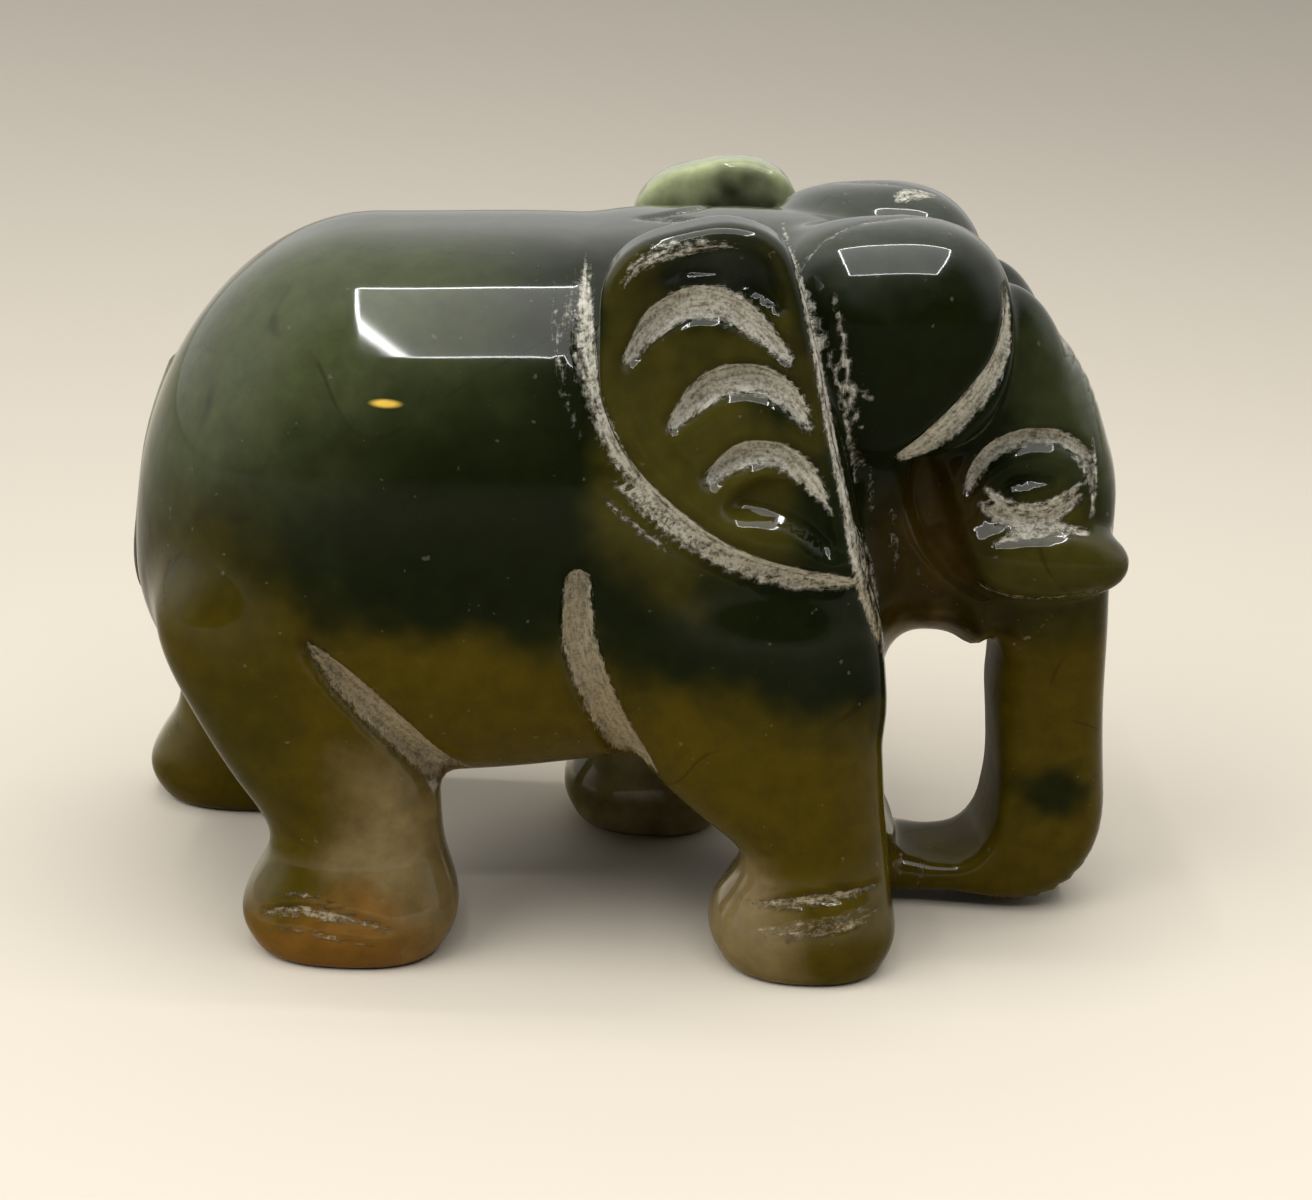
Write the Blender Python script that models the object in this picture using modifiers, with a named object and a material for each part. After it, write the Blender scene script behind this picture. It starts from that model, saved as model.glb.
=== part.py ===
"""A small stone elephant, carved and polished from one piece.

The figure stands on four flared feet, the two left feet set further back than
the right ones. The head points along +X, the left side along +Y, up is +Z, and
the origin lies on the ground below the middle of the whole figure. The masses
are blocked out with primitives, fused, drawn onto one smooth form, and then
the cut grooves are carved into that skin.
"""
import bpy
import bmesh
import numpy as np
from mathutils import Matrix

# Driving sizes, in metres
LENGTH = 0.0500            # rump to the front of the trunk
GROOVE_WIDTH = 0.0017      # kerf of the cutting disc in the long grooves
GROOVE_DEPTH = 0.0011      # how deep the long grooves go
FOLD_DEPTH = 0.0008        # depth of the crescents on the ears
EAR_THICKNESS = 0.0030     # the ear flaps, where they stand free at the top
EAR_STEP = 0.0013          # how far the ears stand proud of the shoulders
CLEARANCE = 0.0006         # from the ground up to the curled trunk
VOXEL = 0.00045            # grain of the fused skin before it is thinned
TRIANGLES = 9200           # what is left of the skin at the end

# All other figures are shares of the length: one part is a fiftieth of it
PART = LENGTH / 50.0
ELEPHANT = "elephant"

# The barrel of the body: stations along X with half width, top and keel
BARREL_X = np.array([-27.0, -20.0, -12.0, -4.0, 3.0, 10.0])
BARREL_HALF = np.array([11.2, 11.7, 12.0, 11.9, 11.4, 10.6])
BARREL_TOP = np.array([34.2, 34.3, 34.6, 34.9, 34.4, 33.5])
BARREL_KEEL = np.array([9.4, 8.6, 8.0, 8.9, 10.2, 11.0])
BARREL_WAIST = 18.0        # height of the widest line
RUMP_START = -14.6         # where the back begins to fall to the rump
RUMP_LENGTH = 11.55
BREAST = 10.4              # front plane of the shoulders at waist height
BREAST_LEAN = 0.27         # how far that plane leans back for its height
BREAST_LEAN_LOW = 0.13     # and below the waist

# Limbs: height, centre along X, half length, centre across, half width
HIND_LEG = np.array([
    (0.0, -14.60, 4.30, 8.70, 3.05),
    (1.5, -14.60, 5.20, 8.60, 3.60),
    (3.3, -14.45, 5.10, 8.45, 3.55),
    (5.4, -14.30, 4.30, 8.15, 3.20),
    (8.7, -15.25, 4.85, 8.10, 3.45),
    (12.6, -17.20, 5.30, 7.80, 3.80),
    (16.0, -18.60, 5.40, 7.20, 4.10),
    (20.0, -18.60, 5.00, 6.40, 4.00),
])
FORE_LEG = np.array([
    (0.0, 8.00, 3.90, 8.10, 3.70),
    (1.4, 7.90, 4.60, 8.15, 4.00),
    (3.4, 7.95, 4.35, 8.20, 3.80),
    (5.8, 8.20, 3.70, 8.20, 3.20),
    (7.8, 7.05, 4.55, 8.20, 3.35),
    (10.6, 5.35, 5.90, 8.20, 3.60),
    (14.4, 4.20, 6.60, 8.00, 3.90),
    (20.0, 3.60, 6.20, 7.40, 4.00),
])
STRIDE = 7.5               # the left feet stand this far behind the right ones
STRIDE_FROM = 4.0          # the stride fades between these two heights
STRIDE_TO = 18.0

# The face and trunk, along a path in the middle plane:
# X, height, half depth across the path, half width
TRUNK = np.array([
    (12.6, 33.0, 1.4, 2.4),
    (15.6, 31.0, 1.9, 3.4),
    (17.0, 28.2, 3.5, 4.6),
    (17.4, 25.0, 4.6, 5.2),
    (18.1, 21.8, 4.7, 5.0),
    (19.2, 18.6, 3.8, 4.3),
    (20.1, 15.6, 3.0, 3.9),
    (20.4, 11.0, 3.0, 3.7),
    (20.6, 7.0, 3.3, 3.6),
    (19.8, 2.9 + CLEARANCE / PART, 3.4, 3.5),
    (16.6, 1.4 + CLEARANCE / PART, 1.4, 3.1),
    (13.0, 1.25 + CLEARANCE / PART, 1.3, 2.9),
    (9.0, 1.25 + CLEARANCE / PART, 1.3, 2.9),
])

# The loop between trunk and breast, seen from the side: X and height of its
# middle, half width and half height, in the middle plane and where it flares out
LOOP_INSIDE = np.array([14.85, 8.80, 3.00, 6.05])
LOOP_FLARED = np.array([14.60, 9.95, 3.50, 7.6])
LOOP_LEAN = 0.13           # the loop leans this much forward for its depth
LOOP_FLARE_AT = 4.0        # distance from the middle plane of the flared rim


def spline(knots, values, at):
    """Natural cubic through the values at the knots, held level beyond the ends."""
    knots = np.asarray(knots, float)
    values = np.asarray(values, float)
    step = np.diff(knots)
    count = len(knots)
    system = np.eye(count)
    target = np.zeros(count)
    for i in range(1, count - 1):
        system[i, i - 1] = step[i - 1]
        system[i, i] = 2.0 * (step[i - 1] + step[i])
        system[i, i + 1] = step[i]
        rise = (values[i + 1] - values[i]) / step[i]
        run = (values[i] - values[i - 1]) / step[i - 1]
        target[i] = 6.0 * (rise - run)
    bend = np.linalg.solve(system, target)
    at = np.clip(at, knots[0], knots[-1])
    i = np.clip(np.searchsorted(knots, at) - 1, 0, count - 2)
    h = step[i]
    a = (knots[i + 1] - at) / h
    b = 1.0 - a
    cubic = ((a ** 3 - a) * bend[i] + (b ** 3 - b) * bend[i + 1]) * h * h / 6.0
    return a * values[i] + b * values[i + 1] + cubic


def blend(a, b, radius):
    """Union of two distances with a fillet of about this radius."""
    h = np.clip(0.5 + 0.5 * (b - a) / radius, 0.0, 1.0)
    return b + (a - b) * h - radius * h * (1.0 - h)


def cut(a, b, radius):
    """What lies in both, with a rounded edge."""
    return -blend(-a, -b, radius)


def ease(t):
    t = np.clip(t, 0.0, 1.0)
    return t * t * (3.0 - 2.0 * t)


def radial(offsets, ratio):
    """Distance to a squared oval, measured along the ray from its middle."""
    reach = np.sqrt(sum(o * o for o in offsets))
    return reach - reach / np.maximum(ratio, 1e-6)


def ball(p, centre, radii, power=2.0, tilt=0.0):
    """An ellipsoid, squared off by a power above 2 and tilted about the Y axis."""
    x, y, z = p[:, 0] - centre[0], p[:, 1] - centre[1], p[:, 2] - centre[2]
    c, s = np.cos(np.radians(tilt)), np.sin(np.radians(tilt))
    x, z = c * x - s * z, s * x + c * z
    ratio = sum(np.abs(o / r) ** power for o, r in zip((x, y, z), radii))
    return radial((x, y, z), ratio ** (1.0 / power))


def barrel(p):
    """The body: flat flanks, a broad back, a round rump and a sliced breast."""
    x, y, z = p.T
    half = spline(BARREL_X, BARREL_HALF, x)
    top = spline(BARREL_X, BARREL_TOP, x)
    keel = spline(BARREL_X, BARREL_KEEL, x)
    rise = z - BARREL_WAIST
    tall = np.where(rise > 0.0, top - BARREL_WAIST, BARREL_WAIST - keel)
    end = np.minimum(x - RUMP_START, 0.0)
    power = 2.3 + 0.6 * ease(1.0 + end / RUMP_LENGTH)
    across = np.abs(y / half) ** power + np.abs(rise / tall) ** power
    ratio = across ** (2.1 / power) + np.abs(end / RUMP_LENGTH) ** 2.1
    body = radial((end, y, rise), ratio ** (1.0 / 2.1))
    lean = np.where(rise > 0.0, BREAST_LEAN, BREAST_LEAN_LOW)
    breast = x - BREAST + lean * rise
    return cut(body, breast / np.hypot(1.0, lean), 2.0)


def limb(p, rows, side, stride):
    """An upright leg: squared ovals stacked along Z."""
    x, y, z = p.T
    back = stride * (1.0 - ease((z - STRIDE_FROM) / (STRIDE_TO - STRIDE_FROM)))
    cx, hx, cy, hy = (spline(rows[:, 0], rows[:, k], z) for k in range(1, 5))
    x = x - cx + back
    y = y - side * cy
    ratio = (np.abs(x / hx) ** 2.4 + np.abs(y / hy) ** 2.4) ** (1.0 / 2.4)
    return cut(radial((x, y), ratio), z - rows[-1, 0], 3.0)


def trunk_line():
    """The path of the face and trunk, sampled finely: X, Z, half depth, half width."""
    run = np.hypot(*np.diff(TRUNK[:, :2], axis=0).T)
    knots = np.concatenate([[0.0], np.cumsum(run)])
    fine = np.linspace(0.0, knots[-1], 90)
    rows = [spline(knots, TRUNK[:, k], fine) for k in range(4)]
    return np.array(rows).T


TRUNK_LINE = trunk_line()
FAR = 4.0                  # a distance that is safely past every fillet


def box_round(rows, across, swell):
    """The corners of a box round rows of X and height, and between two distances across."""
    low, high = rows.min(axis=0) - swell, rows.max(axis=0) + swell
    return (low[0], min(across), low[1]), (high[0], max(across), high[1])


def within(p, low, high, distance):
    """A distance that is worked out only inside a box, and is large outside it."""
    d = np.full(len(p), FAR)
    near = ((p > np.array(low) - 2.0) & (p < np.array(high) + 2.0)).all(axis=1)
    d[near] = distance(p[near])
    return d


def loop(p):
    """The opening of the trunk loop: a stadium that flares towards both sides."""
    x, y, z = p.T
    flare = np.minimum((y / LOOP_FLARE_AT) ** 2, 1.6)
    cx, cz, hx, hz = (a + (b - a) * flare for a, b in zip(LOOP_INSIDE, LOOP_FLARED))
    x, z = x - cx + LOOP_LEAN * (z - cz), z - cz
    ratio = (np.abs(x / hx) ** 2.6 + np.abs(z / hz) ** 2.6) ** (1.0 / 2.6)
    return radial((x, z), ratio)


TRUNK_REACH = TRUNK[:, 2:].max()
TRUNK_BOX = box_round(TRUNK_LINE[:, :2], (-TRUNK_REACH, TRUNK_REACH), TRUNK_REACH)


def trunk(p):
    """The face and trunk: rounded rectangles that follow the path."""
    line = TRUNK_LINE
    gap = (p[:, 0:1] - line[:, 0]) ** 2 + (p[:, 2:3] - line[:, 1]) ** 2
    near = np.argmin(gap, axis=1)
    heading = np.gradient(line[:, :2], axis=0)
    pace = np.hypot(heading[:, 0], heading[:, 1])
    heading = heading / pace[:, None]
    dx = p[:, 0] - line[near, 0]
    dz = p[:, 2] - line[near, 1]
    along = dx * heading[near, 0] + dz * heading[near, 1]
    aside = dz * heading[near, 0] - dx * heading[near, 1]
    at = near + along / pace[near]
    last = len(line) - 1
    depth = np.interp(at, np.arange(last + 1), line[:, 2])
    width = np.interp(at, np.arange(last + 1), line[:, 3])
    ratio = (np.abs(aside / depth) ** 3.0 + np.abs(p[:, 1] / width) ** 3.0) ** (1.0 / 3.0)
    end = np.maximum(np.maximum(-at, at - last), 0.0) * pace[near]
    return radial((aside, p[:, 1]), ratio) + end


EAR = np.array([
    (5.0, 35.6), (3.9, 36.9), (2.0, 37.4), (-0.2, 37.0), (-2.2, 36.2), (-3.4, 34.6),
    (-3.5, 32.0), (-3.2, 29.0), (-1.7, 26.2), (1.2, 23.6), (4.2, 22.0), (7.2, 21.2),
    (9.0, 21.0), (8.4, 24.0), (7.2, 28.0), (6.2, 32.0),
])
EAR_FACE = 11.0 + EAR_STEP / PART    # how far out the ears' faces lie at their rear edge
EAR_TOE_IN = 0.09          # the faces turn in towards the head, and a little upwards


def outline_distance(x, z, outline):
    """Distance in the side view to a closed outline, negative inside it."""
    best = np.full(len(x), 1e9)
    inside = np.zeros(len(x), bool)
    for a, b in zip(outline, np.roll(outline, -1, axis=0)):
        edge = b - a
        t = ((x - a[0]) * edge[0] + (z - a[1]) * edge[1]) / (edge @ edge)
        t = np.clip(t, 0.0, 1.0)
        best = np.minimum(best, np.hypot(x - a[0] - t * edge[0], z - a[1] - t * edge[1]))
        crosses = (a[1] > z) != (b[1] > z)
        with np.errstate(divide="ignore", invalid="ignore"):
            at = a[0] + (z - a[1]) * edge[0] / edge[1]
        inside ^= crosses & (x < at)
    return np.where(inside, -best, best)


def rounded(outline, count=6):
    """A closed outline through the points, as a smooth Catmull-Rom curve."""
    before, after = np.roll(outline, 1, axis=0), np.roll(outline, -1, axis=0)
    later = np.roll(outline, -2, axis=0)
    t = (np.arange(count) / count)[:, None]
    pieces = []
    for a, b, c, d in zip(before, outline, after, later):
        pieces.append(0.5 * (2 * b + (c - a) * t + (2 * a - 5 * b + 4 * c - d) * t ** 2
                             + (3 * b - a - 3 * c + d) * t ** 3))
    return np.concatenate(pieces)


EAR_OUTLINE = rounded(EAR)
LEFT_EAR_FORWARD = 1.6     # the top of the left ear sits this much further forward
LEFT_EAR_LOWER = 0.7


EAR_ROOT = EAR_FACE - EAR_THICKNESS / PART
EAR_BOXES = [box_round(EAR_OUTLINE, (side * EAR_ROOT - side, side * EAR_FACE), 2.0)
             for side in (-1.0, 1.0)]


def ear_face(x, z):
    """How far out the face of an ear lies."""
    return EAR_FACE - EAR_TOE_IN * (x - 0.0) - 0.03 * (z - 28.0)


def ear(p):
    """A flap along the shoulder, with a raised rim behind and a shallow dish."""
    x, y, z = p.T
    moved = np.where(y > 0.0, ease((z - 24.0) / 10.0), 0.0)
    x, z = x - moved * LEFT_EAR_FORWARD, z + moved * LEFT_EAR_LOWER
    edge = outline_distance(x, z, EAR_OUTLINE)
    thick = EAR_THICKNESS / PART
    rim = ease((-edge - 0.6) / 1.6) * ease((6.5 - x) / 4.0)
    out = np.abs(y) - ear_face(x, z)
    return cut(cut(edge, out + 0.55 * rim, 0.9), -out - thick, 0.6)


TAIL = np.array([(-24.3, 27.0), (-25.3, 23.4), (-25.8, 19.6), (-25.95, 16.4), (-25.6, 14.2)])
TAIL_RADIUS = np.array([0.25, 0.4, 0.45, 0.55, 0.4])


def tail(p):
    """The tail in low relief down the middle of the rump."""
    x, y, z = p.T
    at = spline(TAIL[::-1, 1], TAIL[::-1, 0], z)
    thick = spline(TAIL[::-1, 1], TAIL_RADIUS[::-1], z)
    reach = np.maximum(np.maximum(z - TAIL[0, 1], TAIL[-1, 1] - z), 0.0)
    return np.sqrt((x - at) ** 2 + y ** 2 + reach ** 2) - thick


TAIL_BOX = box_round(TAIL, (-1.0, 1.0), 1.0)


def form(p):
    """Distance to the whole figure before the grooves are cut."""
    x, y, z = p.T
    mirror = np.stack([x, np.abs(y), z], axis=1)
    d = within(p, TRUNK_BOX[0], TRUNK_BOX[1], trunk)
    d = blend(d, ball(p, (12.0, 0.0, 20.4), (6.6, 4.9, 6.6), 3.0), 0.8)
    d = blend(d, ball(p, (9.0, 0.0, 10.0), (4.4, 4.8, 9.4), 4.0), 1.2)
    d = blend(d, ball(mirror, (18.0, 4.0, 20.2), (5.1, 2.1, 2.1), 2.2, 3.0), 0.7)
    d = cut(d, -loop(p), 0.4)
    d = blend(d, barrel(p), 1.4)
    for rows in (HIND_LEG, FORE_LEG):
        d = blend(d, limb(p, rows, -1.0, 0.0), 1.2)
        d = blend(d, limb(p, rows, 1.0, STRIDE), 1.2)
    d = blend(d, ball(p, (5.5, 0.0, 28.4), (8.4, 7.4, 7.3), 2.6), 1.4)
    d = blend(d, ball(p, (0.8, 0.0, 27.8), (5.8, 10.6, 7.2), 3.2), 1.6)
    d = blend(d, ball(mirror, (10.0, 4.5, 30.95), (6.1, 4.5, 5.7), 2.7, -5.0), 0.8)
    d = blend(d, ball(mirror, (16.9, 3.0, 30.4), (1.9, 1.9, 3.4), 2.0, -28.0), 0.6)
    d = blend(d, within(p, TAIL_BOX[0], TAIL_BOX[1], tail), 0.5)
    for low, high in EAR_BOXES:
        d = blend(d, within(p, low, high, ear), 0.8)
    return cut(d, -z, 0.5)


# Cuts on the sides: (X, height, share of the full half width), for the right side
FORE_GROOVE = [(-4.0, 20.6, 0.5), (-4.0, 19.2, 0.7), (-3.8, 17.6, 0.9), (-3.2, 15.7, 1.0),
               (-2.4, 13.8, 1.0), (-1.6, 12.2, 1.0), (-0.9, 10.9, 1.0)]
HIND_GROOVE = [(-16.2, 16.9, 0.2), (-15.2, 15.9, 0.6), (-14.0, 14.7, 0.8),
               (-12.3, 12.6, 1.0), (-10.9, 10.6, 1.0), (-10.0, 9.2, 1.0)]
EAR_FOLDS = [
    [(-2.2, 31.6, 0.5), (-0.9, 33.4, 1.0), (0.8, 34.1, 1.1), (2.8, 33.6, 1.0), (4.8, 31.9, 0.5)],
    [(0.2, 28.2, 0.5), (1.6, 30.0, 1.0), (3.2, 30.5, 1.1), (4.9, 30.0, 1.0), (6.2, 28.3, 0.5)],
    [(1.9, 25.6, 0.5), (3.0, 26.7, 0.9), (4.4, 27.0, 1.0), (6.0, 26.2, 0.9), (7.4, 24.6, 0.5)],
]
EAR_HOLLOWS = [
    [(0.2, 34.9, 0.6), (1.6, 35.6, 1.0), (3.4, 35.1, 1.1), (4.6, 34.2, 0.7)],
    [(3.2, 24.6, 0.6), (4.8, 24.9, 1.1), (6.6, 24.0, 1.0), (7.6, 22.8, 0.6)],
]
BROW_GROOVE = [(15.2, 34.0, 0.5), (15.4, 32.4, 0.7), (15.1, 30.8, 0.8), (14.3, 29.4, 0.9),
               (12.9, 27.8, 1.0), (11.2, 26.0, 0.8)]
CHEEK_GROOVE = [(12.2, 25.4, 0.6), (12.7, 23.4, 1.0), (13.5, 21.4, 1.1), (14.7, 19.6, 0.9),
                (16.2, 18.4, 0.5)]
EYE_LID = [(14.7, 23.6, 0.6), (15.2, 25.0, 0.9), (16.3, 26.1, 1.0), (17.8, 26.5, 1.0),
           (19.3, 26.3, 0.9), (20.4, 25.5, 0.6)]
EYE_BAG = [(15.3, 23.0, 0.6), (16.3, 22.2, 1.0), (17.7, 22.0, 1.0), (19.0, 22.5, 1.0),
           (20.2, 23.7, 0.6)]
EYE_SLIT = [(16.3, 24.0, 0.6), (17.4, 24.6, 1.0), (18.6, 24.7, 0.6)]
TOES = [
    [(-18.6, 3.0, 0.6), (-16.7, 3.5, 1.0), (-14.6, 3.2, 1.0), (-12.4, 2.7, 0.6)],
    [(4.9, 4.3, 0.6), (7.3, 4.8, 1.0), (9.7, 4.9, 1.0), (11.2, 4.9, 0.6)],
]


def stroke(p, rows, half):
    """Strength of a cut along a line in the side view, 1 in its middle and 0 past it."""
    rows = np.array(rows)
    strength = np.zeros(len(p))
    low, high = rows[:, :2].min(axis=0) - half * 1.2, rows[:, :2].max(axis=0) + half * 1.2
    near = (p[:, 0] > low[0]) & (p[:, 0] < high[0]) & (p[:, 2] > low[1]) & (p[:, 2] < high[1])
    x, z = p[near, 0], p[near, 2]
    steps = np.arange(len(rows))
    fine = np.linspace(0, len(rows) - 1, 6 * len(rows))
    line = np.stack([spline(steps, rows[:, k], fine) for k in range(3)], axis=1)
    best = np.zeros(len(x))
    for a, b in zip(line[:-1], line[1:]):
        edge = b[:2] - a[:2]
        t = np.clip(((x - a[0]) * edge[0] + (z - a[1]) * edge[1]) / (edge @ edge), 0.0, 1.0)
        gap = np.hypot(x - a[0] - t * edge[0], z - a[1] - t * edge[1])
        wide = half * (a[2] + t * (b[2] - a[2]))
        best = np.maximum(best, (1.0 - np.minimum(gap / wide, 1.0) ** 2) * wide / half)
    strength[near] = np.minimum(best * 1.5, 1.0)
    return strength


def carving(p, normal):
    """How deep the cuts go at every point of the skin, in parts."""
    x, y, z = p.T
    side = np.where(y < 0.0, -1.0, 1.0)
    facing = ease((normal[:, 1] * side - 0.15) / 0.3)
    back = np.where(side > 0, STRIDE * (1.0 - ease((z - STRIDE_FROM) / (STRIDE_TO - STRIDE_FROM))), 0.0)
    leg = np.stack([x + back, y, z], axis=1)
    moved = np.where(side > 0, ease((z - 24.0) / 10.0), 0.0)
    head = np.stack([x - moved * LEFT_EAR_FORWARD, y, z + moved * LEFT_EAR_LOWER], axis=1)
    outer = ease((np.abs(y) - 8.0) / 1.0)
    flat = np.full(len(p), FAR)
    near = (np.abs(y) > 7.0) & (head[:, 0] > -6.0) & (head[:, 0] < 10.0) & (z > 19.0)
    flat[near] = outline_distance(head[near, 0], head[near, 2], EAR_OUTLINE)
    on_ear = outer * ease((-flat - 0.4) / 0.9)
    half = GROOVE_WIDTH / PART / 2.0
    depth = np.zeros(len(p))
    for line in (FORE_GROOVE, HIND_GROOVE):
        depth = np.maximum(depth, stroke(leg, line, half) * outer * GROOVE_DEPTH / PART)
    for line in EAR_FOLDS:
        depth = np.maximum(depth, stroke(head, line, 0.85 * half) * on_ear * FOLD_DEPTH / PART)
    for line in EAR_HOLLOWS:
        hollow = stroke(head, line, 1.2 * half) ** 2 * on_ear
        depth = np.maximum(depth, 1.1 * hollow * FOLD_DEPTH / PART)
    for line in TOES:
        depth = np.maximum(depth, stroke(leg, line, 0.6 * half) * outer * 0.4 * GROOVE_DEPTH / PART)
    for line in (BROW_GROOVE, CHEEK_GROOVE):
        depth = np.maximum(depth, stroke(p, line, 0.9 * half) * 0.8 * GROOVE_DEPTH / PART)
    for line, wide, deep in ((EYE_LID, 0.65, 0.75), (EYE_BAG, 0.5, 0.6), (EYE_SLIT, 0.4, 0.7)):
        depth = np.maximum(depth, stroke(p, line, wide * half) * deep * GROOVE_DEPTH / PART)
    return depth * facing


def push(bm, matrix, verts):
    bmesh.ops.transform(bm, matrix=matrix, verts=verts)


def lump(bm, centre, radii):
    made = bmesh.ops.create_uvsphere(bm, u_segments=32, v_segments=20, radius=1.0)
    place = Matrix.Translation(centre) @ Matrix.Diagonal((*radii, 1.0))
    push(bm, place, made["verts"])


def post(bm, low, high, radii_low, ratio):
    """A tapered column between two heights."""
    tall = high[2] - low[2]
    made = bmesh.ops.create_cone(bm, cap_ends=True, segments=32, radius1=1.0,
                                 radius2=ratio, depth=1.0)
    lean = Matrix.Identity(4)
    lean[0][2] = (high[0] - low[0])
    lean[1][2] = (high[1] - low[1])
    lean[2][2] = tall
    lean[0][0], lean[1][1] = radii_low
    middle = [(a + b) / 2 for a, b in zip(low, high)]
    push(bm, Matrix.Translation(middle) @ lean, made["verts"])


def flap(bm, side):
    """The side outline of an ear, as a flat plate where the ear lies."""
    curve = bpy.data.curves.new("flap", "CURVE")
    curve.dimensions = "2D"
    curve.fill_mode = "BOTH"
    curve.extrude = EAR_THICKNESS / PART / 2.0
    line = curve.splines.new("POLY")
    line.points.add(len(EAR_OUTLINE) - 1)
    for point, (x, z) in zip(line.points, EAR_OUTLINE):
        moved = ease((z - 24.0) / 10.0) if side > 0.0 else 0.0
        point.co = (x + moved * LEFT_EAR_FORWARD, z - moved * LEFT_EAR_LOWER, 0.0, 1.0)
    line.use_cyclic_u = True
    plate = bpy.data.objects.new("flap", curve)
    bpy.context.scene.collection.objects.link(plate)
    graph = bpy.context.evaluated_depsgraph_get()
    mesh = bpy.data.meshes.new_from_object(plate.evaluated_get(graph))
    bpy.data.objects.remove(plate)
    out = side * (EAR_FACE - EAR_THICKNESS / PART / 2.0)
    stand = Matrix(((1, 0, 0, 0), (0, 0, -1, out), (0, 1, 0, 0), (0, 0, 0, 1)))
    mesh.transform(stand)
    start = len(bm.verts)
    bm.from_mesh(mesh)
    bm.verts.ensure_lookup_table()
    bmesh.ops.remove_doubles(bm, verts=bm.verts[start:], dist=0.001)


def block_out():
    """Rough primitives for every mass, as one mesh of loose closed bodies."""
    bm = bmesh.new()
    lump(bm, (-8.5, 0.0, 22.3), (18.0, 12.0, 12.7))
    lump(bm, (2.0, 0.0, 22.0), (9.0, 10.5, 11.0))
    lump(bm, (6.0, 0.0, 28.5), (9.0, 8.0, 8.0))
    lump(bm, (0.8, 0.0, 28.0), (5.8, 10.6, 8.0))
    lump(bm, (12.0, 0.0, 20.6), (6.5, 5.0, 6.2))
    for side, stride in ((-1.0, 0.0), (1.0, STRIDE)):
        for rows in (HIND_LEG, FORE_LEG):
            foot, hip = rows[1], rows[-2]
            post(bm, (foot[1] - stride, side * foot[3], 0.0),
                 (hip[1], side * hip[3], hip[0]), (foot[2], foot[4]), 1.1)
        lump(bm, (9.8, side * 4.5, 31.0), (6.7, 4.6, 5.8))
        lump(bm, (16.9, side * 4.3, 19.9), (5.9, 2.3, 2.0))
        flap(bm, side)
    lump(bm, (8.0, 0.0, 9.0), (4.0, 4.6, 8.8))
    for x, z, depth, width in TRUNK_LINE[::4]:
        lump(bm, (x, 0.0, z), (depth, width, depth))
    mesh = bpy.data.meshes.new(ELEPHANT)
    bm.to_mesh(mesh)
    bm.free()
    return mesh


def remeshed(mesh, voxel):
    """The mesh fused into one skin of even squares."""
    rough = bpy.data.objects.new("rough", mesh)
    bpy.context.scene.collection.objects.link(rough)
    step = rough.modifiers.new("fuse", "REMESH")
    step.mode = "VOXEL"
    step.voxel_size = voxel
    graph = bpy.context.evaluated_depsgraph_get()
    done = bpy.data.meshes.new_from_object(rough.evaluated_get(graph))
    bpy.data.objects.remove(rough)
    return done


def points(mesh):
    flat = np.empty(len(mesh.vertices) * 3, np.float32)
    mesh.vertices.foreach_get("co", flat)
    return flat.reshape(-1, 3).astype(float)


def edges(mesh):
    flat = np.empty(len(mesh.edges) * 2, np.int32)
    mesh.edges.foreach_get("vertices", flat)
    return flat.reshape(-1, 2)


def neighbour_mean(p, links):
    total = np.zeros_like(p)
    count = np.zeros(len(p))
    for a, b in ((0, 1), (1, 0)):
        for axis in range(p.shape[1]):
            total[:, axis] += np.bincount(links[:, a], p[links[:, b], axis], len(p))
        count += np.bincount(links[:, a], minlength=len(p))
    return total / count[:, None]


def slope(p, value):
    step = 0.02
    grad = np.empty_like(p)
    for axis in range(3):
        moved = p.copy()
        moved[:, axis] += step
        grad[:, axis] = (form(moved) - value) / step
    return grad


def draw_on(mesh, rounds, limit):
    """Slides every vertex onto the form and evens out their spacing."""
    p, links = points(mesh), edges(mesh)
    for turn in range(rounds):
        value = form(p)
        grad = slope(p, value)
        size = np.maximum((grad ** 2).sum(axis=1), 0.09)
        move = -value[:, None] * grad / size[:, None]
        far = np.linalg.norm(move, axis=1)
        move *= np.minimum(1.0, limit / np.maximum(far, 1e-9))[:, None]
        p = p + move
        if turn < rounds - 2:
            normal = grad / np.sqrt(size)[:, None]
            drift = neighbour_mean(p, links) - p
            drift -= (drift * normal).sum(axis=1)[:, None] * normal
            p = p + 0.5 * drift
    mesh.vertices.foreach_set("co", p.astype(np.float32).ravel())
    mesh.update()
    return mesh


def carve(mesh):
    """Cuts the grooves into the skin, straight towards the middle plane."""
    p, links = points(mesh), edges(mesh)
    value = form(p)
    normal = slope(p, value)
    normal /= np.linalg.norm(normal, axis=1)[:, None]
    depth = carving(p, normal)[:, None]
    depth = 0.5 * depth + 0.5 * neighbour_mean(depth, links)
    p[:, 1] -= np.sign(p[:, 1]) * depth[:, 0]
    p[p[:, 2] < 0.03, 2] = 0.0
    mesh.vertices.foreach_set("co", (p * PART).astype(np.float32).ravel())
    mesh.update()


def material(name, colour, roughness, metallic):
    made = bpy.data.materials.new(name)
    made.use_nodes = True
    shader = made.node_tree.nodes["Principled BSDF"]
    shader.inputs["Base Color"].default_value = (*colour, 1.0)
    shader.inputs["Roughness"].default_value = roughness
    shader.inputs["Metallic"].default_value = metallic
    made.diffuse_color = (*colour, 1.0)
    return made


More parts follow.
